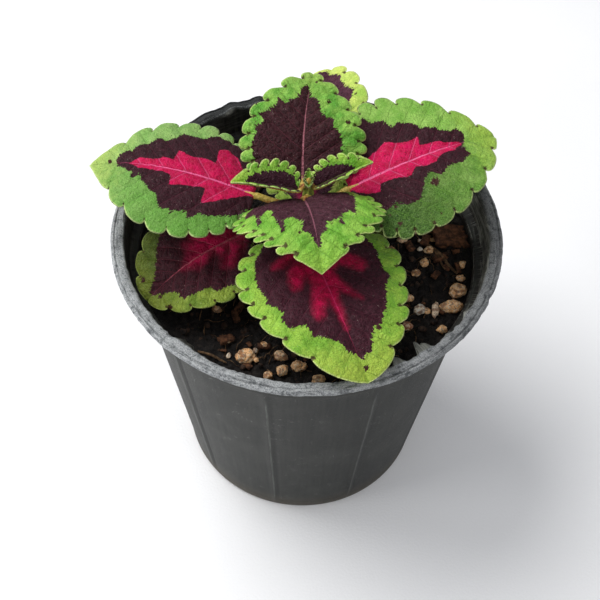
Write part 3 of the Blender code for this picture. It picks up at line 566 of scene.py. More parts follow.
def toothed(leaf, p, share, depth, start, bulge):  # how far the scallops stand off the plain outline
    if p <= 0 or p >= 1:
        return Vector((0.0, 0.0))
    along = outline(leaf, min(p + 0.004, 1.0)) - outline(leaf, max(p - 0.004, 0.0))
    outward = Vector((along.y, -along.x)).normalized()
    cut = math.exp(-(min(share, 1 - share) / 0.10) ** 2)
    bump = 1.2 * math.sin(math.pi * share ** 0.86) ** 0.5 - 0.62 - 0.5 * cut
    fade = min(1.0, 6 * p, 5 * (1 - p)) * (bulge + (1 - bulge) * max(0.0, 1 - 4 * share))
    inward = (outline(leaf, p) - start).normalized()  # notches follow the grid's rows, so none folds
    return (outward * max(bump, 0.0) + inward * min(bump, 0.0)) * depth * fade


def tube(bm, path, radii, sides, shape=None, tag=1):  # a closed tube along a path, in metres
    path = [path[0]] + list(path) + [path[-1]]
    radii = [0.0] + list(radii) + [0.0]
    made = bmesh.ops.create_grid(bm, x_segments=sides, y_segments=len(path) - 1, size=1)["verts"]
    across, rings = None, []
    for index in range(len(path)):
        low, high = max(index - 1, 0), min(index + 1, len(path) - 1)
        if (path[high] - path[low]).length < 1e-9:
            low, high = max(index - 2, 0), min(index + 2, len(path) - 1)
        along = (path[high] - path[low]).normalized()
        if across is None:
            across = along.cross(Vector((0.1, 0.2, 1))).normalized()
        across = (across - along * across.dot(along)).normalized()
        rings.append((across, along.cross(across)))
    for vert in made:
        row = round((vert.co.y + 1) / 2 * (len(path) - 1))
        angle = math.pi * (vert.co.x + 1)
        side, over = rings[row]
        radius = radii[row] * (shape(angle) if shape else 1.0)
        vert.co = path[row] + (side * math.cos(angle) + over * math.sin(angle)) * radius
    faces = {face for vert in made for face in vert.link_faces}
    for face in faces:
        face.material_index = tag
    bmesh.ops.remove_doubles(bm, verts=made, dist=1e-7)
    return made


def standingOff(leaf, x, y, edge, vein, bulge):  # how far a point of the blade stands off its smooth form
    small = min(1.0, leaf["halfWidth"] / 20)
    reach, seed = abs(x), leaf["seed"]
    swell = (math.sin(math.pi * (vein % 1.0)) ** 0.75 - 0.5) * smooth(0.4, 3.5, reach)
    swell *= 0.25 + 0.75 * smooth(0.2, 5.0, edge)
    pucker = noise.noise(Vector((x * 0.42, y * 0.42, seed))) + 0.6 * noise.noise(Vector((x, y, seed)) * 0.95)
    wave = (reach / leaf["halfWidth"]) ** 2 * math.sin(vein * 1.9 + seed)
    return small * (
        relief["swell"] * swell + relief["pucker"] * pucker * smooth(0.0, 2.0, edge) + relief["wave"] * wave
        + bulge * math.exp(-(edge / (3.2 * small)) ** 2)
        - relief["groove"] * math.exp(-reach ** 2) - relief["edge"] * math.exp(-(edge / 0.5) ** 2))


def bladeRows(leaf, grid, teeth, rows, tipRows):  # the midrib and both margins, plain and scalloped
    rule = random.Random(leaf["seed"])
    depths = {
        side: [leaf["toothDepth"] * rule.uniform(0.85, 1.25) for _ in range(teeth)] for side in (1, -1)}
    bead = leafLooks[leaf["look"]]["bead"]
    starts, bulges, plains, rims = [], [], {1: [], -1: []}, {1: [], -1: []}
    for row in range(rows + 1):
        tooth, share = toothOf(row, teeth, grid["rowsPerTooth"], tipRows)
        isTip = tooth == teeth - 1
        p = {side: marginAt(leaf, side, tooth, share) for side in (1, -1)}
        starts.append(Vector((0.0, leaf["length"] * (1 - (1 - (p[1] + p[-1]) / 2) ** 1.35) ** 1.15)))
        for side in (1, -1):
            plain = outline(leaf, p[side])
            bulge = leaf.get("tipBulge", 1) if isTip else 1
            rim = plain + toothed(leaf, p[side], share, depths[side][tooth], starts[-1], bulge)
            plains[side].append(Vector((side * plain.x, plain.y)))
            rims[side].append(Vector((side * rim.x, rim.y)))
        level = 1 - smooth(0.0, 0.12, share) if isTip and "cuts" in leaf else 1
        bulges.append(bead * level * (math.sin(math.pi * share) ** 0.6 - 0.65))
    return starts, bulges, plains, rims


def bladeFields(leaf, grid, points, margin, notches):  # what the leaf's material reads at each point
    notch = np.min([np.hypot(points[:, 0] - x * 0.975, points[:, 1] - y) for x, y in notches], axis=0)
    spot = np.full(len(points), -9.0)
    for x, y, size in leaf["spots"]:
        spot = np.maximum(spot, size - np.hypot(points[:, 0] - x, points[:, 1] - y))
    across, along = np.abs(points[:, 0]), points[:, 1] / leaf["length"]
    spacing = leaf["length"] / grid["sideVeins"]
    return dict(
        purple=depthInside(points, leaf["purple"]), pink=depthInside(points, leaf["pink"]),
        edge=toSegments(points, margin), notch=notch, spot=spot, across=across, along=along,
        veins=(points[:, 1] - (0.62 + 0.36 * along) * across) / spacing + 40.0,
        spacing=np.full(len(points), spacing), under=np.zeros(len(points)))


def bladeInto(bm, leaf, grid=leafGrid):  # adds the upper face of one leaf's blade
    perTooth, columns = grid["rowsPerTooth"], grid["columns"]
    teeth = leaf.get("teeth") or len(leaf["cuts"][1]) - 1
    tipRows = 2.5 if "cuts" in leaf else 1
    rows = int((teeth - 1 + tipRows) * perTooth)
    starts, bulges, plains, rims = bladeRows(leaf, grid, teeth, rows, tipRows)
    made = bmesh.ops.create_grid(bm, x_segments=2 * columns, y_segments=rows, size=1)["verts"]
    flats, lines = [], []
    for vert in made:
        row = round((vert.co.y + 1) / 2 * rows)
        side, out = 1 if vert.co.x <= 0 else -1, abs(vert.co.x)
        plain, rim = plains[side][row], rims[side][row]
        flats.append(tuple(starts[row].lerp(plain, out ** 0.88) + (rim - plain) * out ** 4))
        lines.append(row)
    points = np.array(flats)
    margin = np.array([tuple(p) for p in rims[1] + rims[-1][::-1]])
    notches = [rims[side][tooth * perTooth] for side in (1, -1) for tooth in range(1, teeth)]
    fields = bladeFields(leaf, grid, points, margin, notches)
    layers = {key: bm.verts.layers.float[key] for key in fields}
    frames = leafFrames(leaf)
    for index, vert in enumerate(made):
        for key, values in fields.items():
            vert[layers[key]] = float(values[index])
        x, y = points[index]
        edge, vein = fields["edge"][index], fields["veins"][index] - 40.0
        vert.co = onBlade(leaf, frames, x, y, standingOff(leaf, x, y, edge, vein, bulges[lines[index]])) * mm
    faces = list({face for vert in made for face in vert.link_faces})
    flatUv = bm.loops.layers.uv["flat"]
    place = dict(zip(made, points))
    for face in faces:
        for loop in face.loops:
            x, y = place[loop.vert]
            loop[flatUv].uv = (0.5 + x / 100, y / 100)  # the flat blade, 100 millimetres to one unit
    return made, faces, frames


def thicken(bm, made, faces, thickness):
    edge, under = bm.verts.layers.float["edge"], bm.verts.layers.float["under"]
    bm.normal_update()
    normals = {vert: vert.normal.copy() for vert in made}
    copied = bmesh.ops.duplicate(bm, geom=faces)
    twins = copied["vert_map"]
    lower = [item for item in copied["geom"] if isinstance(item, bmesh.types.BMFace)]
    bmesh.ops.reverse_faces(bm, faces=lower)
    for vert in made:
        twin = twins[vert]
        reach = min(vert[edge] / 0.5, 1.0)
        twin.co = vert.co - normals[vert] * thickness * mm * math.sqrt(reach)
        twin[under] = 1.0
    both = made + [twins[vert] for vert in made]
    bmesh.ops.remove_doubles(bm, verts=both, dist=2e-6)


def newLeafMesh():
    bm = bmesh.new()
    for key in ("purple", "pink", "edge", "notch", "spot", "across", "along", "veins", "spacing", "under"):
        bm.verts.layers.float.new(key)
    bm.loops.layers.uv.new("flat")
    return bm


# The stem, in millimetres: square, narrower towards the top and a little thicker at each pair of leaves
stem = dict(
    start=88.2, ring=0.75, rings=79, nodes=(120.5, 126.5, 135.5, 142.5), swelling=0.22, swellingReach=1.3,
    halfSide=2.2, topHalfSide=1.3, narrowsFrom=110.8, narrowsOver=36.0)


def stemHalfSide(height):
    share = min(max((height - stem["narrowsFrom"]) / stem["narrowsOver"], 0.0), 1.0)
    return stem["halfSide"] + (stem["topHalfSide"] - stem["halfSide"]) * share


def stalkInto(bm, leaf, frames, root, thick, thin):  # one tube: the stalk, then the midrib under the blade
    height, facing = leaf["stem"]
    out = Vector((math.cos(math.radians(facing)), math.sin(math.radians(facing)), 0.0))
    start = Vector((0, 0, height)) + out * (stemHalfSide(height) + 0.1)
    end = frames[0][0]
    forward = (frames[1][0] - end).normalized()
    reach = (end - start).length
    foot = end - frames[0][2] * root * 0.4
    path, radii = [], []
    steps = 15
    for step in range(steps):  # a smooth curve from the stem to the base of the blade
        t = step / steps
        a, b = 2 * t ** 3 - 3 * t ** 2 + 1, t ** 3 - 2 * t ** 2 + t
        c, d = 3 * t ** 2 - 2 * t ** 3, t ** 3 - t ** 2
        path.append(start * a + out * reach * b + foot * c + forward * reach * d)
        radii.append(root * (1.22 - 0.22 * smooth(0.0, 0.25, t)))
    last = len(frames) * 0.88
    for index in range(0, int(last), 2):
        share = index / last
        radius = thick * (1 - share) + thin * share
        point, _, up = frames[index]
        sunk = 0.75 + 0.25 * smooth(0.0, 0.1, share) + radius * (0.25 + 0.75 * smooth(0.0, 0.12, share))
        path.append(point - up * sunk)
        radii.append(radius)
    tube(bm, [p * mm for p in path], [r * mm for r in radii], leafGrid["petioleSides"])


def makeLeaf(name, leaf):
    isInner = "inner" in name
    bm = newLeafMesh()
    made, faces, frames = bladeInto(bm, leaf)
    thicken(bm, made, faces, leafGrid["thickness"])
    stalkInto(bm, leaf, frames, *((0.828, 0.45, 0.14) if isInner else (1.15, 1.15, 0.25)))
    bmesh.ops.recalc_face_normals(bm, faces=bm.faces)
    materials = [leafMaterial(name, leafLooks[leaf["look"]], leaf["seed"]), stalkMaterial]
    newPiece(name + "_skin", bm, materials, [name])


for name, leaf in leaves.items():
    makeLeaf(name, leaf)
print("leaves made")

# The growing tip: tiny folded leaves round a bud. Each row: heading, length, half width and rise
tipLeaves = dict(
    start=147.7, bud=147.1, budLength=3.0, budRadii=(1.15, 1.25, 1.25, 1.0, 0.7, 0.4, 0.15),
    budShares=(0.0, 0.15, 0.35, 0.6, 0.8, 0.93, 1.0),
    rows=[(90, 4.6, 1.8, 38), (270, 4.2, 1.8, 30), (12, 2.8, 1.2, 60), (192, 2.8, 1.2, 60)])


def makeTip():
    bm = newLeafMesh()
    grid = dict(rowsPerTooth=7, columns=12, sideVeins=5, thickness=0.5)
    for index, (heading, length, halfWidth, rise) in enumerate(tipLeaves["rows"]):
        way = Vector((math.cos(math.radians(heading)), math.sin(math.radians(heading)), 0.0))
        leaf = dict(
            base=Vector((0, 0, tipLeaves["start"])) + way * 0.7, heading=heading, turn=0, length=length,
            halfWidth=halfWidth, rise=rise, tipRise=rise + 18, roll=(0, 0), fold=48, droop=30, fullness=0.8,
            taper=0.6, shoulder=1.1, teeth=6, toothDepth=0.4, look="tender", seed=300 + index,
            purple=[], pink=[], spots=[])
        made, faces, _ = bladeInto(bm, leaf, grid)
        thicken(bm, made, faces, grid["thickness"])
    levels = [tipLeaves["bud"] + tipLeaves["budLength"] * share for share in tipLeaves["budShares"]]
    path = [Vector((0, 0, level)) * mm for level in levels]
    tube(bm, path, [radius * mm for radius in tipLeaves["budRadii"]], 16)
    bmesh.ops.recalc_face_normals(bm, faces=bm.faces)
    materials = [leafMaterial("growing_tip", leafLooks["tender"], 377), stalkMaterial]
    newPiece("growing_tip_skin", bm, materials, ["growing_tip"])


makeTip()


def makeStem():
    bm = bmesh.new()
    levels = [stem["start"] + stem["ring"] * index for index in range(stem["rings"])]
    radii = []
    for height in levels:
        swelling = sum(math.exp(-((height - at) / stem["swellingReach"]) ** 2) for at in stem["nodes"])
        radii.append((stemHalfSide(height) + swelling * stem["swelling"]) * 1.08 * mm)

    def square(angle):  # a square with round corners and hollow sides
        x, y = abs(math.cos(angle)), abs(math.sin(angle))
        return 1.0 / (x ** 5 + y ** 5) ** 0.2 - 0.10 * abs(math.sin(2 * angle + math.pi / 2)) ** 3

    tube(bm, [Vector((0, 0, height)) * mm for height in levels], radii, 40, square, tag=0)
    bmesh.ops.recalc_face_normals(bm, faces=bm.faces)
    newPiece("stem_skin", bm, [stemMaterial], ["stem"])


makeStem()
print("stem and growing tip made")

# The pot. Lengths in millimetres, angles in degrees. Each burr, nick and crumple of the lip: angle, half
# width in degrees, and size.
pot = dict(
    height=125.0, rim=70.0, lip=4.2, lipDrop=2.6, collarHeight=11.0, collar=66.2, collarStep=1.4,
    wallTop=62.6, base=49.0, wall=1.4, floor=1.8, pad=24.0, channel=2.0, ringInner=45.0,
    panels=10, panelTurn=-102.0, panelDepth=0.3, ridge=0.22, steps=432, holes=8, hole=3.5, holeCircle=35.5,
    burrs=[(-128.5, 1.6, 1.7), (-125.5, 1.3, 1.3), (-122.6, 0.9, 0.6), (-72, 1.6, 0.5), (-65, 1.2, 0.6),
           (-61.5, 1.5, 3.2), (-53.5, 0.9, 4.2), (-51.4, 1.0, 3.0), (-44, 1.2, 0.5), (-33, 1.5, 0.6),
           (-12, 2.0, 0.5), (4, 2.5, 0.6), (109, 1.8, 0.8), (118, 3.0, 1.0), (-178, 2.0, 0.4),
           (-160, 1.5, 0.4)],
    nicks=[(-24.5, 1.1, 1.0), (-31.0, 0.8, 0.5), (-141, 0.8, 0.4), (-88, 5.0, 0.7), (-74, 4.0, 0.9)],
    crumples=[(117, 2.4, 1.6), (107.5, 1.8, 1.2), (126, 3.0, 0.7), (98, 2.0, 0.5)])


def wallRadius(height):
    top = pot["height"] - pot["collarHeight"] - pot["collarStep"]
    return pot["base"] + (pot["wallTop"] - pot["base"]) * min(max(height / top, 0.0), 1.0)


def softened(points, cut, steps=4):  # a profile with its corners rounded
    made = [Vector(points[0])]
    for before, corner, after in zip(points, points[1:], points[2:]):
        before, corner, after = Vector(before), Vector(corner), Vector(after)
        first = corner + (before - corner).normalized() * min(cut, (before - corner).length * 0.45)
        last = corner + (after - corner).normalized() * min(cut, (after - corner).length * 0.45)
        for step in range(steps + 1):
            t = step / steps
            made.append(first * (1 - t) ** 2 + corner * 2 * t * (1 - t) + last * t ** 2)
    made.append(Vector(points[-1]))
    return made


def divided(points, longest):  # the same profile with long stretches split
    made = [points[0]]
    for start, end in zip(points, points[1:]):
        count = max(1, math.ceil((end - start).length / longest))
        made += [start.lerp(end, (index + 1) / count) for index in range(count)]
    return made


def potProfile():
    height, rim = pot["height"], pot["rim"]
    stepHigh = height - pot["collarHeight"]
    stepLow = stepHigh - pot["collarStep"]
    lipInner, under = rim - pot["lip"], height - pot["lipDrop"]
    floorTop = pot["channel"] + pot["floor"]
    outside = [
        (0, 0), (pot["pad"], 0), (pot["pad"] + 2, pot["channel"]), (pot["ringInner"] - 1.2, pot["channel"]),
        (pot["ringInner"], 0), (pot["base"] - 0.8, 0), (wallRadius(1.2), 1.2), (wallRadius(6.0), 6.0),
        (pot["wallTop"], stepLow), (pot["collar"] - 0.5, stepHigh), (pot["collar"], under - 0.2),
        (rim - 0.9, under - 0.2), (rim, under + 0.6), (rim, height - 1.0), (rim - 0.6, height - 0.3),
        (rim - 1.1, height - 0.25), (rim - 1.4, height - 0.75), (rim - 1.8, height - 0.1)]
    inside = [
        (lipInner + 0.8, height), (lipInner - 0.3, height - 0.9),
        (pot["collar"] - pot["wall"] - 0.3, stepHigh), (pot["wallTop"] - pot["wall"], stepLow),
        (wallRadius(floorTop) - pot["wall"], floorTop),
        (pot["pad"] + 2.4, floorTop), (pot["pad"] - 0.4, pot["floor"]), (0, pot["floor"])]
    outer = divided(softened(outside, 0.7), 3.2)
    inner = divided(softened(inside, 0.6), 5.0)
    return outer, inner


def bumpAt(degrees, rows):  # the sum of narrow swellings round the rim: angle, half width and size
    total = 0.0
    for at, width, size in rows:
        total += size * math.exp(-((((degrees - at) + 180) % 360 - 180) / width) ** 2)
    return total


def potOffset(angle, radius, height, outer):  # panels, ridges and a lip worn by use
    turn = Vector((math.cos(angle), math.sin(angle), 0.0))
    degrees = math.degrees(angle)
    width = 360 / pot["panels"]
    offset = (degrees - pot["panelTurn"] + width / 2) % width - width / 2
    shift, rise = 0.0, 0.0
    if outer and 3.0 < height < 110.5:
        band = smooth(3.0, 7.0, height) * (1 - smooth(107.5, 110.5, height))
        ridge = math.exp(-(offset / 1.3) ** 2)
        crease = 0.22 * math.exp(-((offset - 2.0) / 0.9) ** 2)
        shift += band * (ridge * (pot["ridge"] + pot["panelDepth"]) - pot["panelDepth"] - crease)
    if height > 118:
        high = smooth(122.4, 123.8, height)
        rough = noise.noise(turn * 9 + Vector((0, 0, height * 0.5)))
        fine = noise.noise(turn * 48 + Vector((0, 0, height * 0.9)))
        if outer and radius > pot["rim"] - pot["lip"] + 1.2:
            shift += 0.18 * rough + 0.14 * fine - high * bumpAt(degrees, pot["nicks"])
        else:
            torn = noise.noise(turn * 26 + Vector((0, 0, 4.0)))
            worn = 0.42 * fine - 0.9 * max(torn, 0.0) - 1.25 * bumpAt(degrees, pot["burrs"])
            shift += 0.5 * rough + high * worn
    if height > pot["height"] - 3.2:
        rise = 0.20 * noise.noise(turn * 30 + Vector((0, 0, radius * 0.5)))
        rise += 0.13 * noise.noise(turn * 90 + Vector((0, 0, radius * 1.3)))
        rise -= 0.5 * smooth(68.6, 70.0, radius) * max(noise.noise(turn * 6), 0.0)
        rise += smooth(-3.2, -0.5, height - pot["height"]) * bumpAt(degrees, pot["crumples"]) * 0.9
    return radius + shift, height + rise


def makePotGroup():
    tree, n, entry = newGroup("wornPlastic", ["v place"])
    place = n.scaled(entry["place"], 1000.0)
    x, y, z = n.apart(place)
    level = n.together(x, y, 0.0)
    radius, angle = n.vector("LENGTH", level), n.math("ARCTAN2", y, x)
    wide = n.scaled(n.vector("NORMALIZE", level), 60.0)
    solid = n.moved(wide, n.together(0.0, 0.0, z))
    around = n.moved(wide, n.together(0.0, 0.0, z * 0.05))  # long upright marks
    streak, fineStreak = n.noise(around, 0.55, 4.0, 0.6), n.noise(around, 3.6, 3.0, 0.7)
    rings = n.noise(n.stretched(solid, (0.05, 0.05, 1.0)), 1.3, 3.0, 0.7)
    patch, grain = n.noise(solid, 0.06, 4.0, 0.6), n.noise(place, 2.4, 4.0, 0.7)
    # Where the surface is: the lip, the inside or the outside
    lip = n.ramp(z, 121.9, 122.9) * n.ramp(radius, 65.0, 65.9)
    inside = n.larger(
        n.ramp(radius - n.ramp(z, 0.0, 112.6, 48.3, 61.9, "LINEAR"), -0.15, 0.05, 1.0, 0.0),
        n.ramp(z, 112.8, 113.8) * n.ramp(radius, 65.4, 65.8, 1.0, 0.0))
    inside = inside * n.ramp(z, 2.6, 3.4)
    below = n.ramp(z, 2.4, 4.0, 1.0, 0.0) * n.ramp(radius, 47.6, 48.8, 1.0, 0.0)
    # The outer wall: dull dark grey, a little cloudy, with a few scratches, painted shade in the creases
    # beside its ridges and painted highlights along the ridges
    half = math.pi / pot["panels"]
    turned = n.math("WRAP", angle - math.radians(pot["panelTurn"]), half, -half) + (patch - 0.5) * 0.02
    panelBand = n.ramp(z, 5.0, 12.0) * n.ramp(z, 98.0, 105.0, 1.0, 0.0)
    deep = n.ramp(n.math("COSINE", angle - math.radians(-138.0)), 0.85, 0.97, 0.22, 0.95)
    scratch = n.near(n.noise(solid, 0.11, 2.0, 0.5, 1.2), 0.5, 0.0, 0.0035)
    scratch = scratch * n.ramp(n.noise(solid, 0.3, 2.0), 0.52, 0.60) * 0.6
    ridgeHighlight = panelBand * n.ramp(fineStreak, 0.35, 0.6, 0.05, 0.40)
    wall = n.layers(
        n.mix(n.ramp(streak, 0.36, 0.64), (34, 35, 33), (43, 44, 41)),
        (n.ramp(patch, 0.42, 0.72, 0.0, 0.5), (60, 61, 57)),
        (n.ramp(grain, 0.56, 0.72, 0.0, 0.14), (100, 100, 95)),
        # painted shade: a dark line in the crease beside each ridge, strongest near -138 degrees
        (n.near(turned, 0.034, 0.003, 0.013) * panelBand * deep, (24, 25, 24)),
        # painted highlight: a pale line along the ridges, broken up by noise
        (n.near(turned, 0.004, 0.002, 0.010) * ridgeHighlight, (120, 124, 118)),
        (scratch, (150, 152, 146)),
        (below, n.mix(n.ramp(n.noise(place, 0.3, 4.0, 0.7), 0.36, 0.66), (26, 27, 25), (54, 54, 50))),
        (n.ramp(grain * 16.0 + z, 4.0, 22.0, 0.45, 0.0), (112, 104, 90)))
    # The inner wall: nearly black, with worn streaks and rings and soil stuck to it. Painted light makes
    # it lighter at the right and towards the top, and shows the streaks and rings mostly there
    paintedLightMask = n.ramp(x * 0.004 + n.noise(solid, 0.05, 2.0), 0.40, 0.68, 0.15, 1.0)
    upper = n.ramp(n.noise(around, 0.5, 3.0, 0.7) * 9.0 + z, 117.0, 124.5)
    coarse = n.ramp(n.noise(n.stretched(solid, (0.16, 0.16, 0.8)), 1.0, 4.0, 0.7), 0.49, 0.60)
    worn = n.larger(n.ramp(rings, 0.50, 0.64), n.ramp(fineStreak, 0.54, 0.68))
    soilMark = n.ramp(n.noise(around, 1.6, 4.0, 0.7) * 12.0 + z, 116.0, 121.0, 1.0, 0.0)
    innerWall = n.layers(
        n.mix(n.ramp(streak, 0.38, 0.62), (14, 12, 10), (44, 41, 36)),
        # painted light: the inner wall lighter at the right and near the top
        (upper * paintedLightMask * 0.7, (84, 86, 80)),
        (n.larger(worn, coarse * upper) * paintedLightMask, (140, 141, 133)),
        (soilMark * 0.75, (22, 15, 10)))
    # The lip: faded to a rough pale grey and rubbed along, still black at the back, with painted shade
    # darkening its right side and a painted highlight along the inner edge at the back
    rubbed = n.moved(n.stretched(wide, (0.11, 0.11, 0.0)), n.together(0.0, 0.0, radius))
    rubbed = n.noise(rubbed, 1.5, 4.0, 0.75)
    groove = n.near((n.noise(wide, 0.25, 3.0) - 0.5) * 1.2 + radius, 68.5, 0.15, 0.5)
    groove = groove * n.ramp(n.noise(wide, 0.12, 3.0), 0.44, 0.64, 0.0, 0.42)
    black = n.ramp((patch - 0.5) * 30.0 + (radius * -3.2 + y), -208.0, -190.0)
    # A painted highlight: a thin pale line along the inner edge of the black lip at the back
    brinkHighlight = n.near(radius, 66.0, 0.15, 0.45) * 0.7 * black * n.ramp(grain, 0.4, 0.6)
    faded = n.layers(
        n.mix(n.ramp(grain, 0.34, 0.60), (120, 123, 125), (186, 188, 188)),
        (n.ramp(n.noise(place, 0.40, 5.0, 0.75), 0.48, 0.64, 0.0, 0.8), (74, 78, 80)),
        (n.ramp(rubbed, 0.52, 0.66, 0.0, 0.7), (60, 63, 65)),
        (n.ramp(rubbed, 0.34, 0.44, 0.55, 0.0), (190, 193, 193)),
        (n.ramp(n.cells(place, 1.0), 0.10, 0.26, 0.7, 0.0), (206, 208, 207)),
        # painted shade: the lip darker towards its right side
        (n.ramp(x, 18.0, 56.0, 0.0, 0.48), (36, 38, 38)),
        (groove, (66, 69, 70)),
        (black * 0.93, n.mix(n.ramp(grain, 0.5, 0.7, 0.0, 0.5), (18, 19, 19), (82, 86, 84))),
        (brinkHighlight, (128, 131, 130)))
    height = grain * (lip * 0.42 + 0.08) + fineStreak * (1.0 - below) * 0.03 + rings * inside * 0.25
    height = height - groove * 0.4 - rubbed * lip * 0.25
    color = n.layers(wall, (inside, innerWall), (lip, faded))
    finishGroup(n, color, grain * 0.25 + 0.42 + lip * 0.14, height)
    return tree


def spun(bm, line, steps):  # turns a line of points round the upright axis into a closed skin
    edges = [bm.edges.new(pair) for pair in zip(line, line[1:])]
    bmesh.ops.spin(
        bm, geom=line + edges, cent=(0, 0, 0), axis=(0, 0, 1), angle=math.tau, steps=steps,
        use_merge=True, use_duplicate=False)
    bmesh.ops.remove_doubles(bm, verts=bm.verts, dist=1e-6)


def drainage():  # the cutter for the holes in the channel and the notches in the standing ring
    cutter = bmesh.new()
    for index in range(pot["holes"]):
        turn = Matrix.Rotation(math.tau * (index + 0.5) / pot["holes"], 4, "Z")
        middle = Matrix.Translation(Vector((pot["holeCircle"], 0, pot["channel"])) * mm)
        bmesh.ops.create_cone(
            cutter, cap_ends=True, segments=32, radius1=pot["hole"] * mm, radius2=pot["hole"] * mm,
            depth=12 * mm, matrix=turn @ middle)
        half = Matrix.Rotation(math.pi / pot["holes"], 4, "Z")
        size = Matrix.Diagonal((12 * mm, 6 * mm, 2.4 * mm, 1))
        ring = Matrix.Translation(Vector((47, 0, 0)) * mm)
        bmesh.ops.create_cube(cutter, size=1.0, matrix=turn @ half @ ring @ size)
    mesh = bpy.data.meshes.new("drainage")
    cutter.to_mesh(mesh)
    cutter.free()
    helper = bpy.data.objects.new("drainage", mesh)
    bpy.context.scene.collection.objects.link(helper)
    return helper


def makePot():
    made, n, shader = newMaterial("pot", IOR=1.46, Specular_IOR_Level=0.28)
    finishShader(n, shader, *n.use(makePotGroup(), place=n.place()))
    bm = bmesh.new()
    isOuter = bm.verts.layers.float.new("outer")
    outer, inner = potProfile()
    line = []
    for index, (radius, height) in enumerate(outer + inner):
        vert = bm.verts.new((radius * mm, 0.0, height * mm))
        vert[isOuter] = 1.0 if index < len(outer) else 0.0
        line.append(vert)
    spun(bm, line, pot["steps"])
    for vert in bm.verts:
        x, y, z = vert.co / mm
        radius, angle = math.hypot(x, y), math.atan2(y, x)
        if radius > 1.0:
            radius, z = potOffset(angle, radius, z, vert[isOuter] > 0.5)
            vert.co = Vector((radius * math.cos(angle), radius * math.sin(angle), z)) * mm
    bmesh.ops.recalc_face_normals(bm, faces=bm.faces)
    piece = newPiece("pot_skin", bm, [made], ["pot"])
    helper = drainage()
    cut = piece.modifiers.new("Drainage", "BOOLEAN")
    cut.object, cut.operation, cut.solver = helper, "DIFFERENCE", "MANIFOLD"
    bpy.context.view_layer.update()
    graph = bpy.context.evaluated_depsgraph_get()
    finished = bpy.data.meshes.new_from_object(piece.evaluated_get(graph))
    piece.modifiers.clear()
    piece.data = finished
    bpy.data.objects.remove(helper, do_unlink=True)
    finished.shade_smooth()
    finished.set_sharp_from_angle(angle=math.radians(50))


makePot()
print("pot made")

# The soil and what lies in it. Lengths in millimetres.
ground = dict(
    level=110.8, mound=1.6, rough=1.1, rings=104, steps=384, crumbs=620, chips=80, fibres=260, grit=70)
# Earthy looks: dark, light and fleck colours as a screen shows them, and how fine the grain is
earths = {
    "soil": ((6, 4, 3), (24, 16, 10), (92, 60, 38), 1.0),
    "crumb": ((12, 8, 6), (62, 41, 27), (132, 94, 62), 1.0),
    "bark": ((56, 32, 18), (120, 76, 46), (168, 120, 78), 1.3),
    "fibre": ((68, 48, 30), (128, 98, 66), (174, 142, 102), 1.6),
}


def soilHeight(x, y):  # the soil's top as it was packed, in millimetres
    radius = math.hypot(x, y) / pot["wallTop"]
    place = Vector((x, y, 13.0)) * mm
    bumps = noise.noise(place * 55.0) + 0.4 * noise.noise((place + Vector((0, 0, 0.058))) * 120.0)
    bumps *= ground["rough"] * (1 - radius ** 8)
    return ground["level"] + ground["mound"] * (1 - radius ** 2) + bumps


def soilTop(x, y):  # the same with crumbs and pits
    top = soilHeight(x, y) - 1.5 + 0.45 * noise.noise(Vector((x, y, 9.0)) * 0.9)
    for depth, size, height in ((0.0, 0.30, 1.5), (5.0, 0.72, 0.75)):
        near, far = noise.voronoi(Vector((x, y, depth)) * size)[0][:2]
        top += height * smooth(0.0, 0.5, far - near)
    return top


def makeEarthGroup():
    tree, n, entry = newGroup("crumbly", ("v place", "c dark", "c light", "c fleck", "f fineness"))
    place = n.scaled(entry["place"], entry["fineness"] * 1000.0)
    broad, fine = n.noise(place, 0.45, 4.0, 0.65), n.noise(place, 2.2, 4.0, 0.7)
    color = n.layers(
        n.mix(n.ramp(broad, 0.36, 0.66), entry["dark"], entry["light"]),
        (n.ramp(fine, 0.62, 0.72, 0.0, 0.6), entry["fleck"]),
        (n.ramp(fine, 0.28, 0.42, 0.7, 0.0), (8, 5, 4)))
    height = fine * 0.9 + n.ramp(n.cells(place, 1.4), 0.1, 0.6) * 0.4
    finishGroup(n, color, n.ramp(broad, 0.3, 0.7, 0.92, 0.62), height)
    return tree


def makeEarthMaterials():
    tree = makeEarthGroup()
    made = {}
    for name, (dark, light, fleck, fineness) in earths.items():
        made[name], n, shader = newMaterial(name, Specular_IOR_Level=0.35)
        out = n.use(tree, place=n.place(), dark=dark, light=light, fleck=fleck, fineness=fineness)
        finishShader(n, shader, *out, 0.6 * mm)
    return made


def makePumiceMaterial():
    made, n, shader = newMaterial("pumice", Specular_IOR_Level=0.55)
    place, tint = n.scaled(n.place(), 1000.0), n.field("tint")
    grain, pits = n.noise(place, 1.2, 4.0, 0.65), n.ramp(n.cells(place, 1.9), 0.12, 0.34, 1.0, 0.0)
    color = n.layers(
        n.mix(n.ramp(tint, 0.10, 0.45), (204, 200, 188), (228, 172, 114)),
        (n.ramp(tint, 0.72, 0.98), (150, 78, 40)),
        # pale grain: partly the stone's own pale grains, partly painted highlights
        (n.ramp(grain, 0.44, 0.62, 0.0, 0.95), (255, 230, 192)),
        (n.ramp(n.noise(place, 0.55, 3.0), 0.49, 0.60, 0.0, 0.75), (118, 66, 30)),
        # darker pits: partly soil in the pores, partly painted shade
        (pits * 0.8, (66, 42, 24)),
        (n.ramp(grain * 1.6 + n.field("low"), 0.75, 1.35), (44, 29, 20)))
    roughness = n.ramp(grain, 0.3, 0.7, 0.56, 0.28)
    finishShader(n, shader, color, roughness, grain * 0.7 - pits * 0.5, 0.8 * mm)
    return made


earthMaterials = makeEarthMaterials()


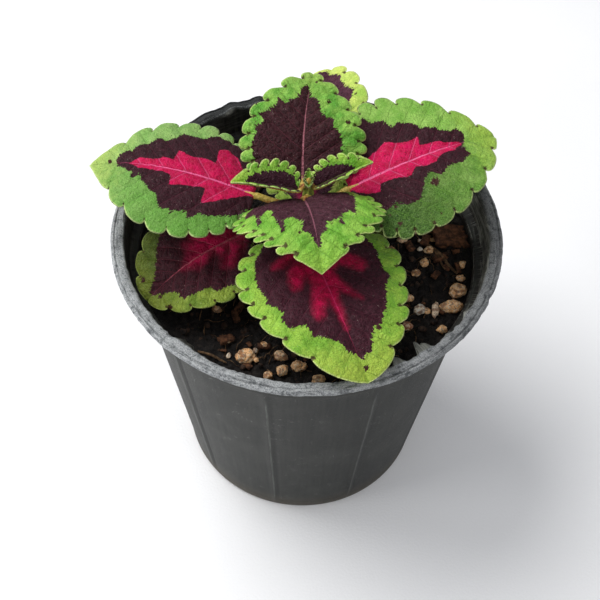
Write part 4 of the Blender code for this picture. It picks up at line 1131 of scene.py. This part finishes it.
def makeSoil():
    bm = bmesh.new()
    level, floorTop = ground["level"], pot["channel"] + pot["floor"] + 0.3
    edge = wallRadius(level) - pot["wall"] - 0.15
    low = wallRadius(floorTop) - pot["wall"] - 0.3
    profile = [(0, floorTop), (low * 0.5, floorTop), (low, floorTop)]
    for share in (0.25, 0.5, 0.75, 0.95):
        profile.append((low + (edge - low) * share, floorTop + (level - floorTop) * share))
    profile += [(edge * (1 - index / ground["rings"]), level) for index in range(ground["rings"] + 1)]
    spun(bm, [bm.verts.new((radius * mm, 0.0, height * mm)) for radius, height in profile], ground["steps"])
    for vert in bm.verts:
        if vert.co.z > (level - 0.01) * mm:
            vert.co.z = soilTop(vert.co.x / mm, vert.co.y / mm) * mm
    bmesh.ops.recalc_face_normals(bm, faces=bm.faces)
    newPiece("soil_skin", bm, [earthMaterials["soil"]], ["soil"])


def joined(bm, small):  # moves one small shape into the whole: much quicker than making each of them there
    mesh = bpy.data.meshes.new("small")
    small.to_mesh(mesh)
    small.free()
    bm.from_mesh(mesh)
    bpy.data.meshes.remove(mesh)


def scatter(rule, count, least=5.0, most=58.5):  # seeded places on the soil, clear of stem and wall
    for _ in range(count):
        radius = math.sqrt(rule.uniform(least ** 2, most ** 2))
        angle = rule.uniform(0, math.tau)
        yield radius * math.cos(angle), radius * math.sin(angle)


def lump(bm, place, size, turn, rule, detail, dent, tint=0.0):  # one uneven stone or crumb
    small = bmesh.new()
    fields = [small.verts.layers.float.new("tint"), small.verts.layers.float.new("low")]
    made = bmesh.ops.create_icosphere(small, subdivisions=detail, radius=0.5)["verts"]
    shift = Vector((rule.uniform(0, 50), rule.uniform(0, 50), rule.uniform(0, 50)))
    spin = Matrix.Rotation(math.radians(turn), 3, "Z") @ Matrix.Rotation(rule.uniform(-0.4, 0.4), 3, "X")
    scale = Matrix.Diagonal(size)
    for vert in made:
        dents = noise.noise(vert.co * 2.2 + shift) + 0.5 * noise.noise(vert.co * 5.5 + shift)
        point = scale @ (vert.co * (1 + dent * dents))
        vert.co = (Vector(place) + spin @ point) * mm
        vert[fields[0]] = tint
        vert[fields[1]] = max(0.0, (place[2] - vert.co.z / mm) / (0.5 * size[2]))
    joined(bm, small)


# Stones that show beside the plant: x, y, length, width, height, turn, and tint from grey through tan to red
stones = [
    (-20, -48, 7.2, 5.2, 4.6, 10, 0.6), (-12, -55, 3.4, 3.0, 3.0, 40, 0.45),
    (-8, -47, 4.8, 3.8, 3.4, -20, 0.35), (-7, -53, 4.2, 3.6, 3.6, 70, 0.55),
    (-2, -51, 4.6, 3.8, 3.6, 30, 0.6), (5, -56, 5.0, 3.2, 2.8, 0, 0.4), (-14, -43, 3.0, 2.4, 2.4, 0, 0.5),
    (45, 1, 3.4, 2.8, 2.8, 15, 0.55), (43, -5, 3.6, 3.2, 3.0, 50, 0.6), (40, -10, 3.2, 2.6, 2.6, 0, 0.5),
    (57, -5, 3.2, 2.8, 2.8, 80, 0.7), (56, -11, 3.4, 2.6, 2.8, 20, 0.55),
    (54.5, -17, 6.4, 5.4, 4.8, 60, 0.55), (52, -24, 8.2, 4.8, 4.4, 5, 0.5),
    (46, -26, 6.4, 2.6, 2.8, 80, 0.25), (40.5, -26, 4.4, 4.0, 3.8, 0, 0.0),
    (37, -21, 3.2, 2.8, 3.0, 45, 0.65), (48, -34, 3.6, 3.0, 2.8, 10, 0.5),
    (36, -33, 3.8, 3.2, 3.4, 25, 0.95)]


def makeStones():
    rule = random.Random(7)
    bm = bmesh.new()
    rows = stones[:]
    for x, y in scatter(rule, ground["grit"], 12.0, 57.5):
        size = rule.uniform(1.4, 4.4)
        wide, high = size * rule.uniform(0.7, 1.0), size * rule.uniform(0.6, 0.9)
        rows.append((x, y, size, wide, high, rule.uniform(0, 180), rule.uniform(0.1, 0.8)))
    for x, y, length, width, height, turn, hue in rows:
        middle = soilHeight(x, y) + height * 0.14
        detail = 4 if length > 3 else 3
        lump(bm, (x, y, middle), (length, width, height), turn, rule, detail, 0.34, hue)
    newPiece("pumice_stones", bm, [makePumiceMaterial()])


def makeCrumbs():
    rule = random.Random(17)
    bm = bmesh.new()
    for x, y in scatter(rule, ground["crumbs"]):
        size = 0.8 + 2.4 * rule.random() ** 2
        sizes = (size, size * rule.uniform(0.6, 1), size * rule.uniform(0.5, 0.9))
        lump(bm, (x, y, soilTop(x, y) + size * 0.1), sizes, rule.uniform(0, 180), rule, 2, 0.45)
    newPiece("soil_crumbs", bm, [earthMaterials["crumb"]])


# Chips that show beside the plant: x, y, length, width, height, turn and tilt
chips = [
    (53, 8, 13, 9.5, 2.8, 12, 16), (46, 13, 9, 5, 2, 40, -10), (44, 6, 6, 3, 1.4, 70, 12),
    (49, -2, 5, 2.6, 1.2, 20, -14), (38, 2, 4.5, 2.4, 1.2, 110, 10), (47, -10, 4, 2.2, 1, 60, 18),
    (33, -14, 4, 2.4, 1, 150, -12), (-27, -41, 5, 3, 1.4, 30, 8)]


def makeBark():
    rule = random.Random(27)
    bm = bmesh.new()
    rows = chips[:]
    for x, y in scatter(rule, ground["chips"], 6.0, 56.5):
        size = 1.4 + 3.6 * rule.random() ** 2
        wide = size * rule.uniform(0.35, 0.7)
        rows.append((x, y, size, wide, size * 0.22, rule.uniform(0, 180), rule.uniform(-25, 25)))
    for x, y, length, width, height, turn, tilt in rows:
        middle = Vector((x, y, soilHeight(x, y) + height * 0.35))
        small = bmesh.new()
        bmesh.ops.create_cube(small, size=1.0)
        bmesh.ops.subdivide_edges(small, edges=small.edges, cuts=12 if length > 7 else 3, use_grid_fill=True)
        shift = Vector((rule.uniform(0, 50), rule.uniform(0, 50), 0))
        lean = Matrix.Rotation(math.radians(turn), 4, "Z") @ Matrix.Rotation(math.radians(tilt), 4, "Y")
        for vert in small.verts:
            co = vert.co
            ragged = 1 + 0.35 * noise.noise(co * 2.4 + shift)
            ridge = noise.noise(Vector((co.x * 1.2, co.y * 9.0, 0.0)) + shift) * (0.30 if co.z > 0 else 0.12)
            high = height * (co.z * (1 + ridge) + ridge * 0.5)
            vert.co = (middle + lean @ Vector((co.x * length * ragged, co.y * width * ragged, high))) * mm
        bmesh.ops.recalc_face_normals(small, faces=small.faces)
        joined(bm, small)
    newPiece("bark_chips", bm, [earthMaterials["bark"]])


# Twigs: start, end and radius
twigs = [
    ((46, 3), (55, -9), 0.62), ((-36, -46), (-26, -50), 0.5), ((20, 48), (32, 40), 0.6),
    ((44, 6), (51, -7), 0.45)]


def makeFibres():
    rule = random.Random(37)
    bm = bmesh.new()
    for start, end, radius in twigs:
        path = []
        for step in range(15):
            share = step / 14
            x, y = Vector(start).lerp(Vector(end), share)
            sway = 0.35 * math.sin(share * 7 + radius * 9)
            high = soilHeight(x, y) + radius * 0.9 + 0.3 * math.sin(share * 5)
            path.append(Vector((x + sway, y, high)) * mm)
        tube(bm, path, [radius * (1 - 0.4 * abs(step / 7 - 1) ** 2) * mm for step in range(15)], 8, tag=0)
    for x, y in scatter(rule, ground["fibres"], 6.0, 55.0):
        turn, length, radius = rule.uniform(0, math.tau), rule.uniform(2.5, 9.0), rule.uniform(0.08, 0.22)
        bend = rule.uniform(-0.9, 0.9)
        path, here, way = [], Vector((x, y)), turn
        for step in range(6):
            px, py = here
            lift = 0.25 + 0.5 * math.sin(math.pi * step / 5) * rule.uniform(0.2, 1.0)
            path.append(Vector((px, py, soilTop(px, py) + lift)) * mm)
            here = here + Vector((math.cos(way), math.sin(way))) * length / 5
            way += bend / 5
            if here.length > 59:
                break
        if len(path) > 3:
            small = bmesh.new()
            tube(small, path, [radius * mm] * len(path), 4, tag=0)
            joined(bm, small)
    newPiece("twigs_and_fibres", bm, [earthMaterials["fibre"]])


makeSoil()
makeStones()
makeCrumbs()
makeBark()
makeFibres()
print("soil made")

# Studio: a pale floor, soft light from above and the photograph's camera. Each light: name, place in metres,
# size and power. eye is in millimetres.
studio = dict(
    floor=(250, 250, 250), world=(240, 242, 248), worldStrength=0.45,
    lights=[("key", (-0.50, 0.25, 0.95), 0.80, 10.0), ("fill", (0.45, -0.60, 0.75), 0.60, 1.6),
            ("side", (-1.1, -0.30, 0.28), 0.45, 5.0)],
    eye=(-1.86, -250.71, 417.73), right=(0.99965, 0.02114, 0.01573), up=(-0.02635, 0.80202, 0.59672),
    lens=64.48)


def makeFloor():
    bm = bmesh.new()
    bmesh.ops.create_grid(bm, x_segments=8, y_segments=8, size=3.0)
    mesh = bpy.data.meshes.new("floor")
    bm.to_mesh(mesh)
    bm.free()
    material, n, shader = newMaterial("floor")
    tone = n.ramp(n.noise(n.place(), 9.0, 2.0), 0.3, 0.7, 0.97, 1.0)
    color = n.mix(1.0, studio["floor"], n.together(tone, tone, tone), "MULTIPLY")
    finishShader(n, shader, color, 0.8, n.noise(n.place(), 900.0, 2.0), 0.0001)
    mesh.materials.append(material)
    floor = bpy.data.objects.new("floor", mesh)
    bpy.context.scene.collection.objects.link(floor)


def makeLights():
    world = bpy.data.worlds.new("sky")
    world.use_nodes = True
    sky = world.node_tree.nodes["Background"]
    sky.inputs[0].default_value = screen(*studio["world"])
    sky.inputs[1].default_value = studio["worldStrength"]
    bpy.context.scene.world = world
    for name, place, size, power in studio["lights"]:
        lamp = bpy.data.lights.new(name, "AREA")
        lamp.shape, lamp.size, lamp.energy = "DISK", size, power
        light = bpy.data.objects.new(name, lamp)
        light.location = place
        light.rotation_mode = "QUATERNION"
        light.rotation_quaternion = (Vector((0, 0, 0.1)) - Vector(place)).to_track_quat("-Z", "Y")
        bpy.context.scene.collection.objects.link(light)


def makeCamera():
    right, up = Vector(studio["right"]).normalized(), Vector(studio["up"])
    up = (up - right * up.dot(right)).normalized()
    turn = Matrix((right, up, right.cross(up))).transposed().to_4x4()
    data = bpy.data.cameras.new("camera")
    data.lens, data.sensor_width = studio["lens"], 36.0
    data.clip_start, data.clip_end = 0.01, 20.0
    camera = bpy.data.objects.new("camera", data)
    camera.matrix_world = Matrix.Translation(Vector(studio["eye"]) * mm) @ turn
    bpy.context.scene.collection.objects.link(camera)
    bpy.context.scene.camera = camera
    view = bpy.context.scene.view_settings
    view.view_transform, view.look, view.exposure, view.gamma = "Standard", "None", 0.0, 1.0


makeFloor()
makeLights()
makeCamera()
print("studio made")
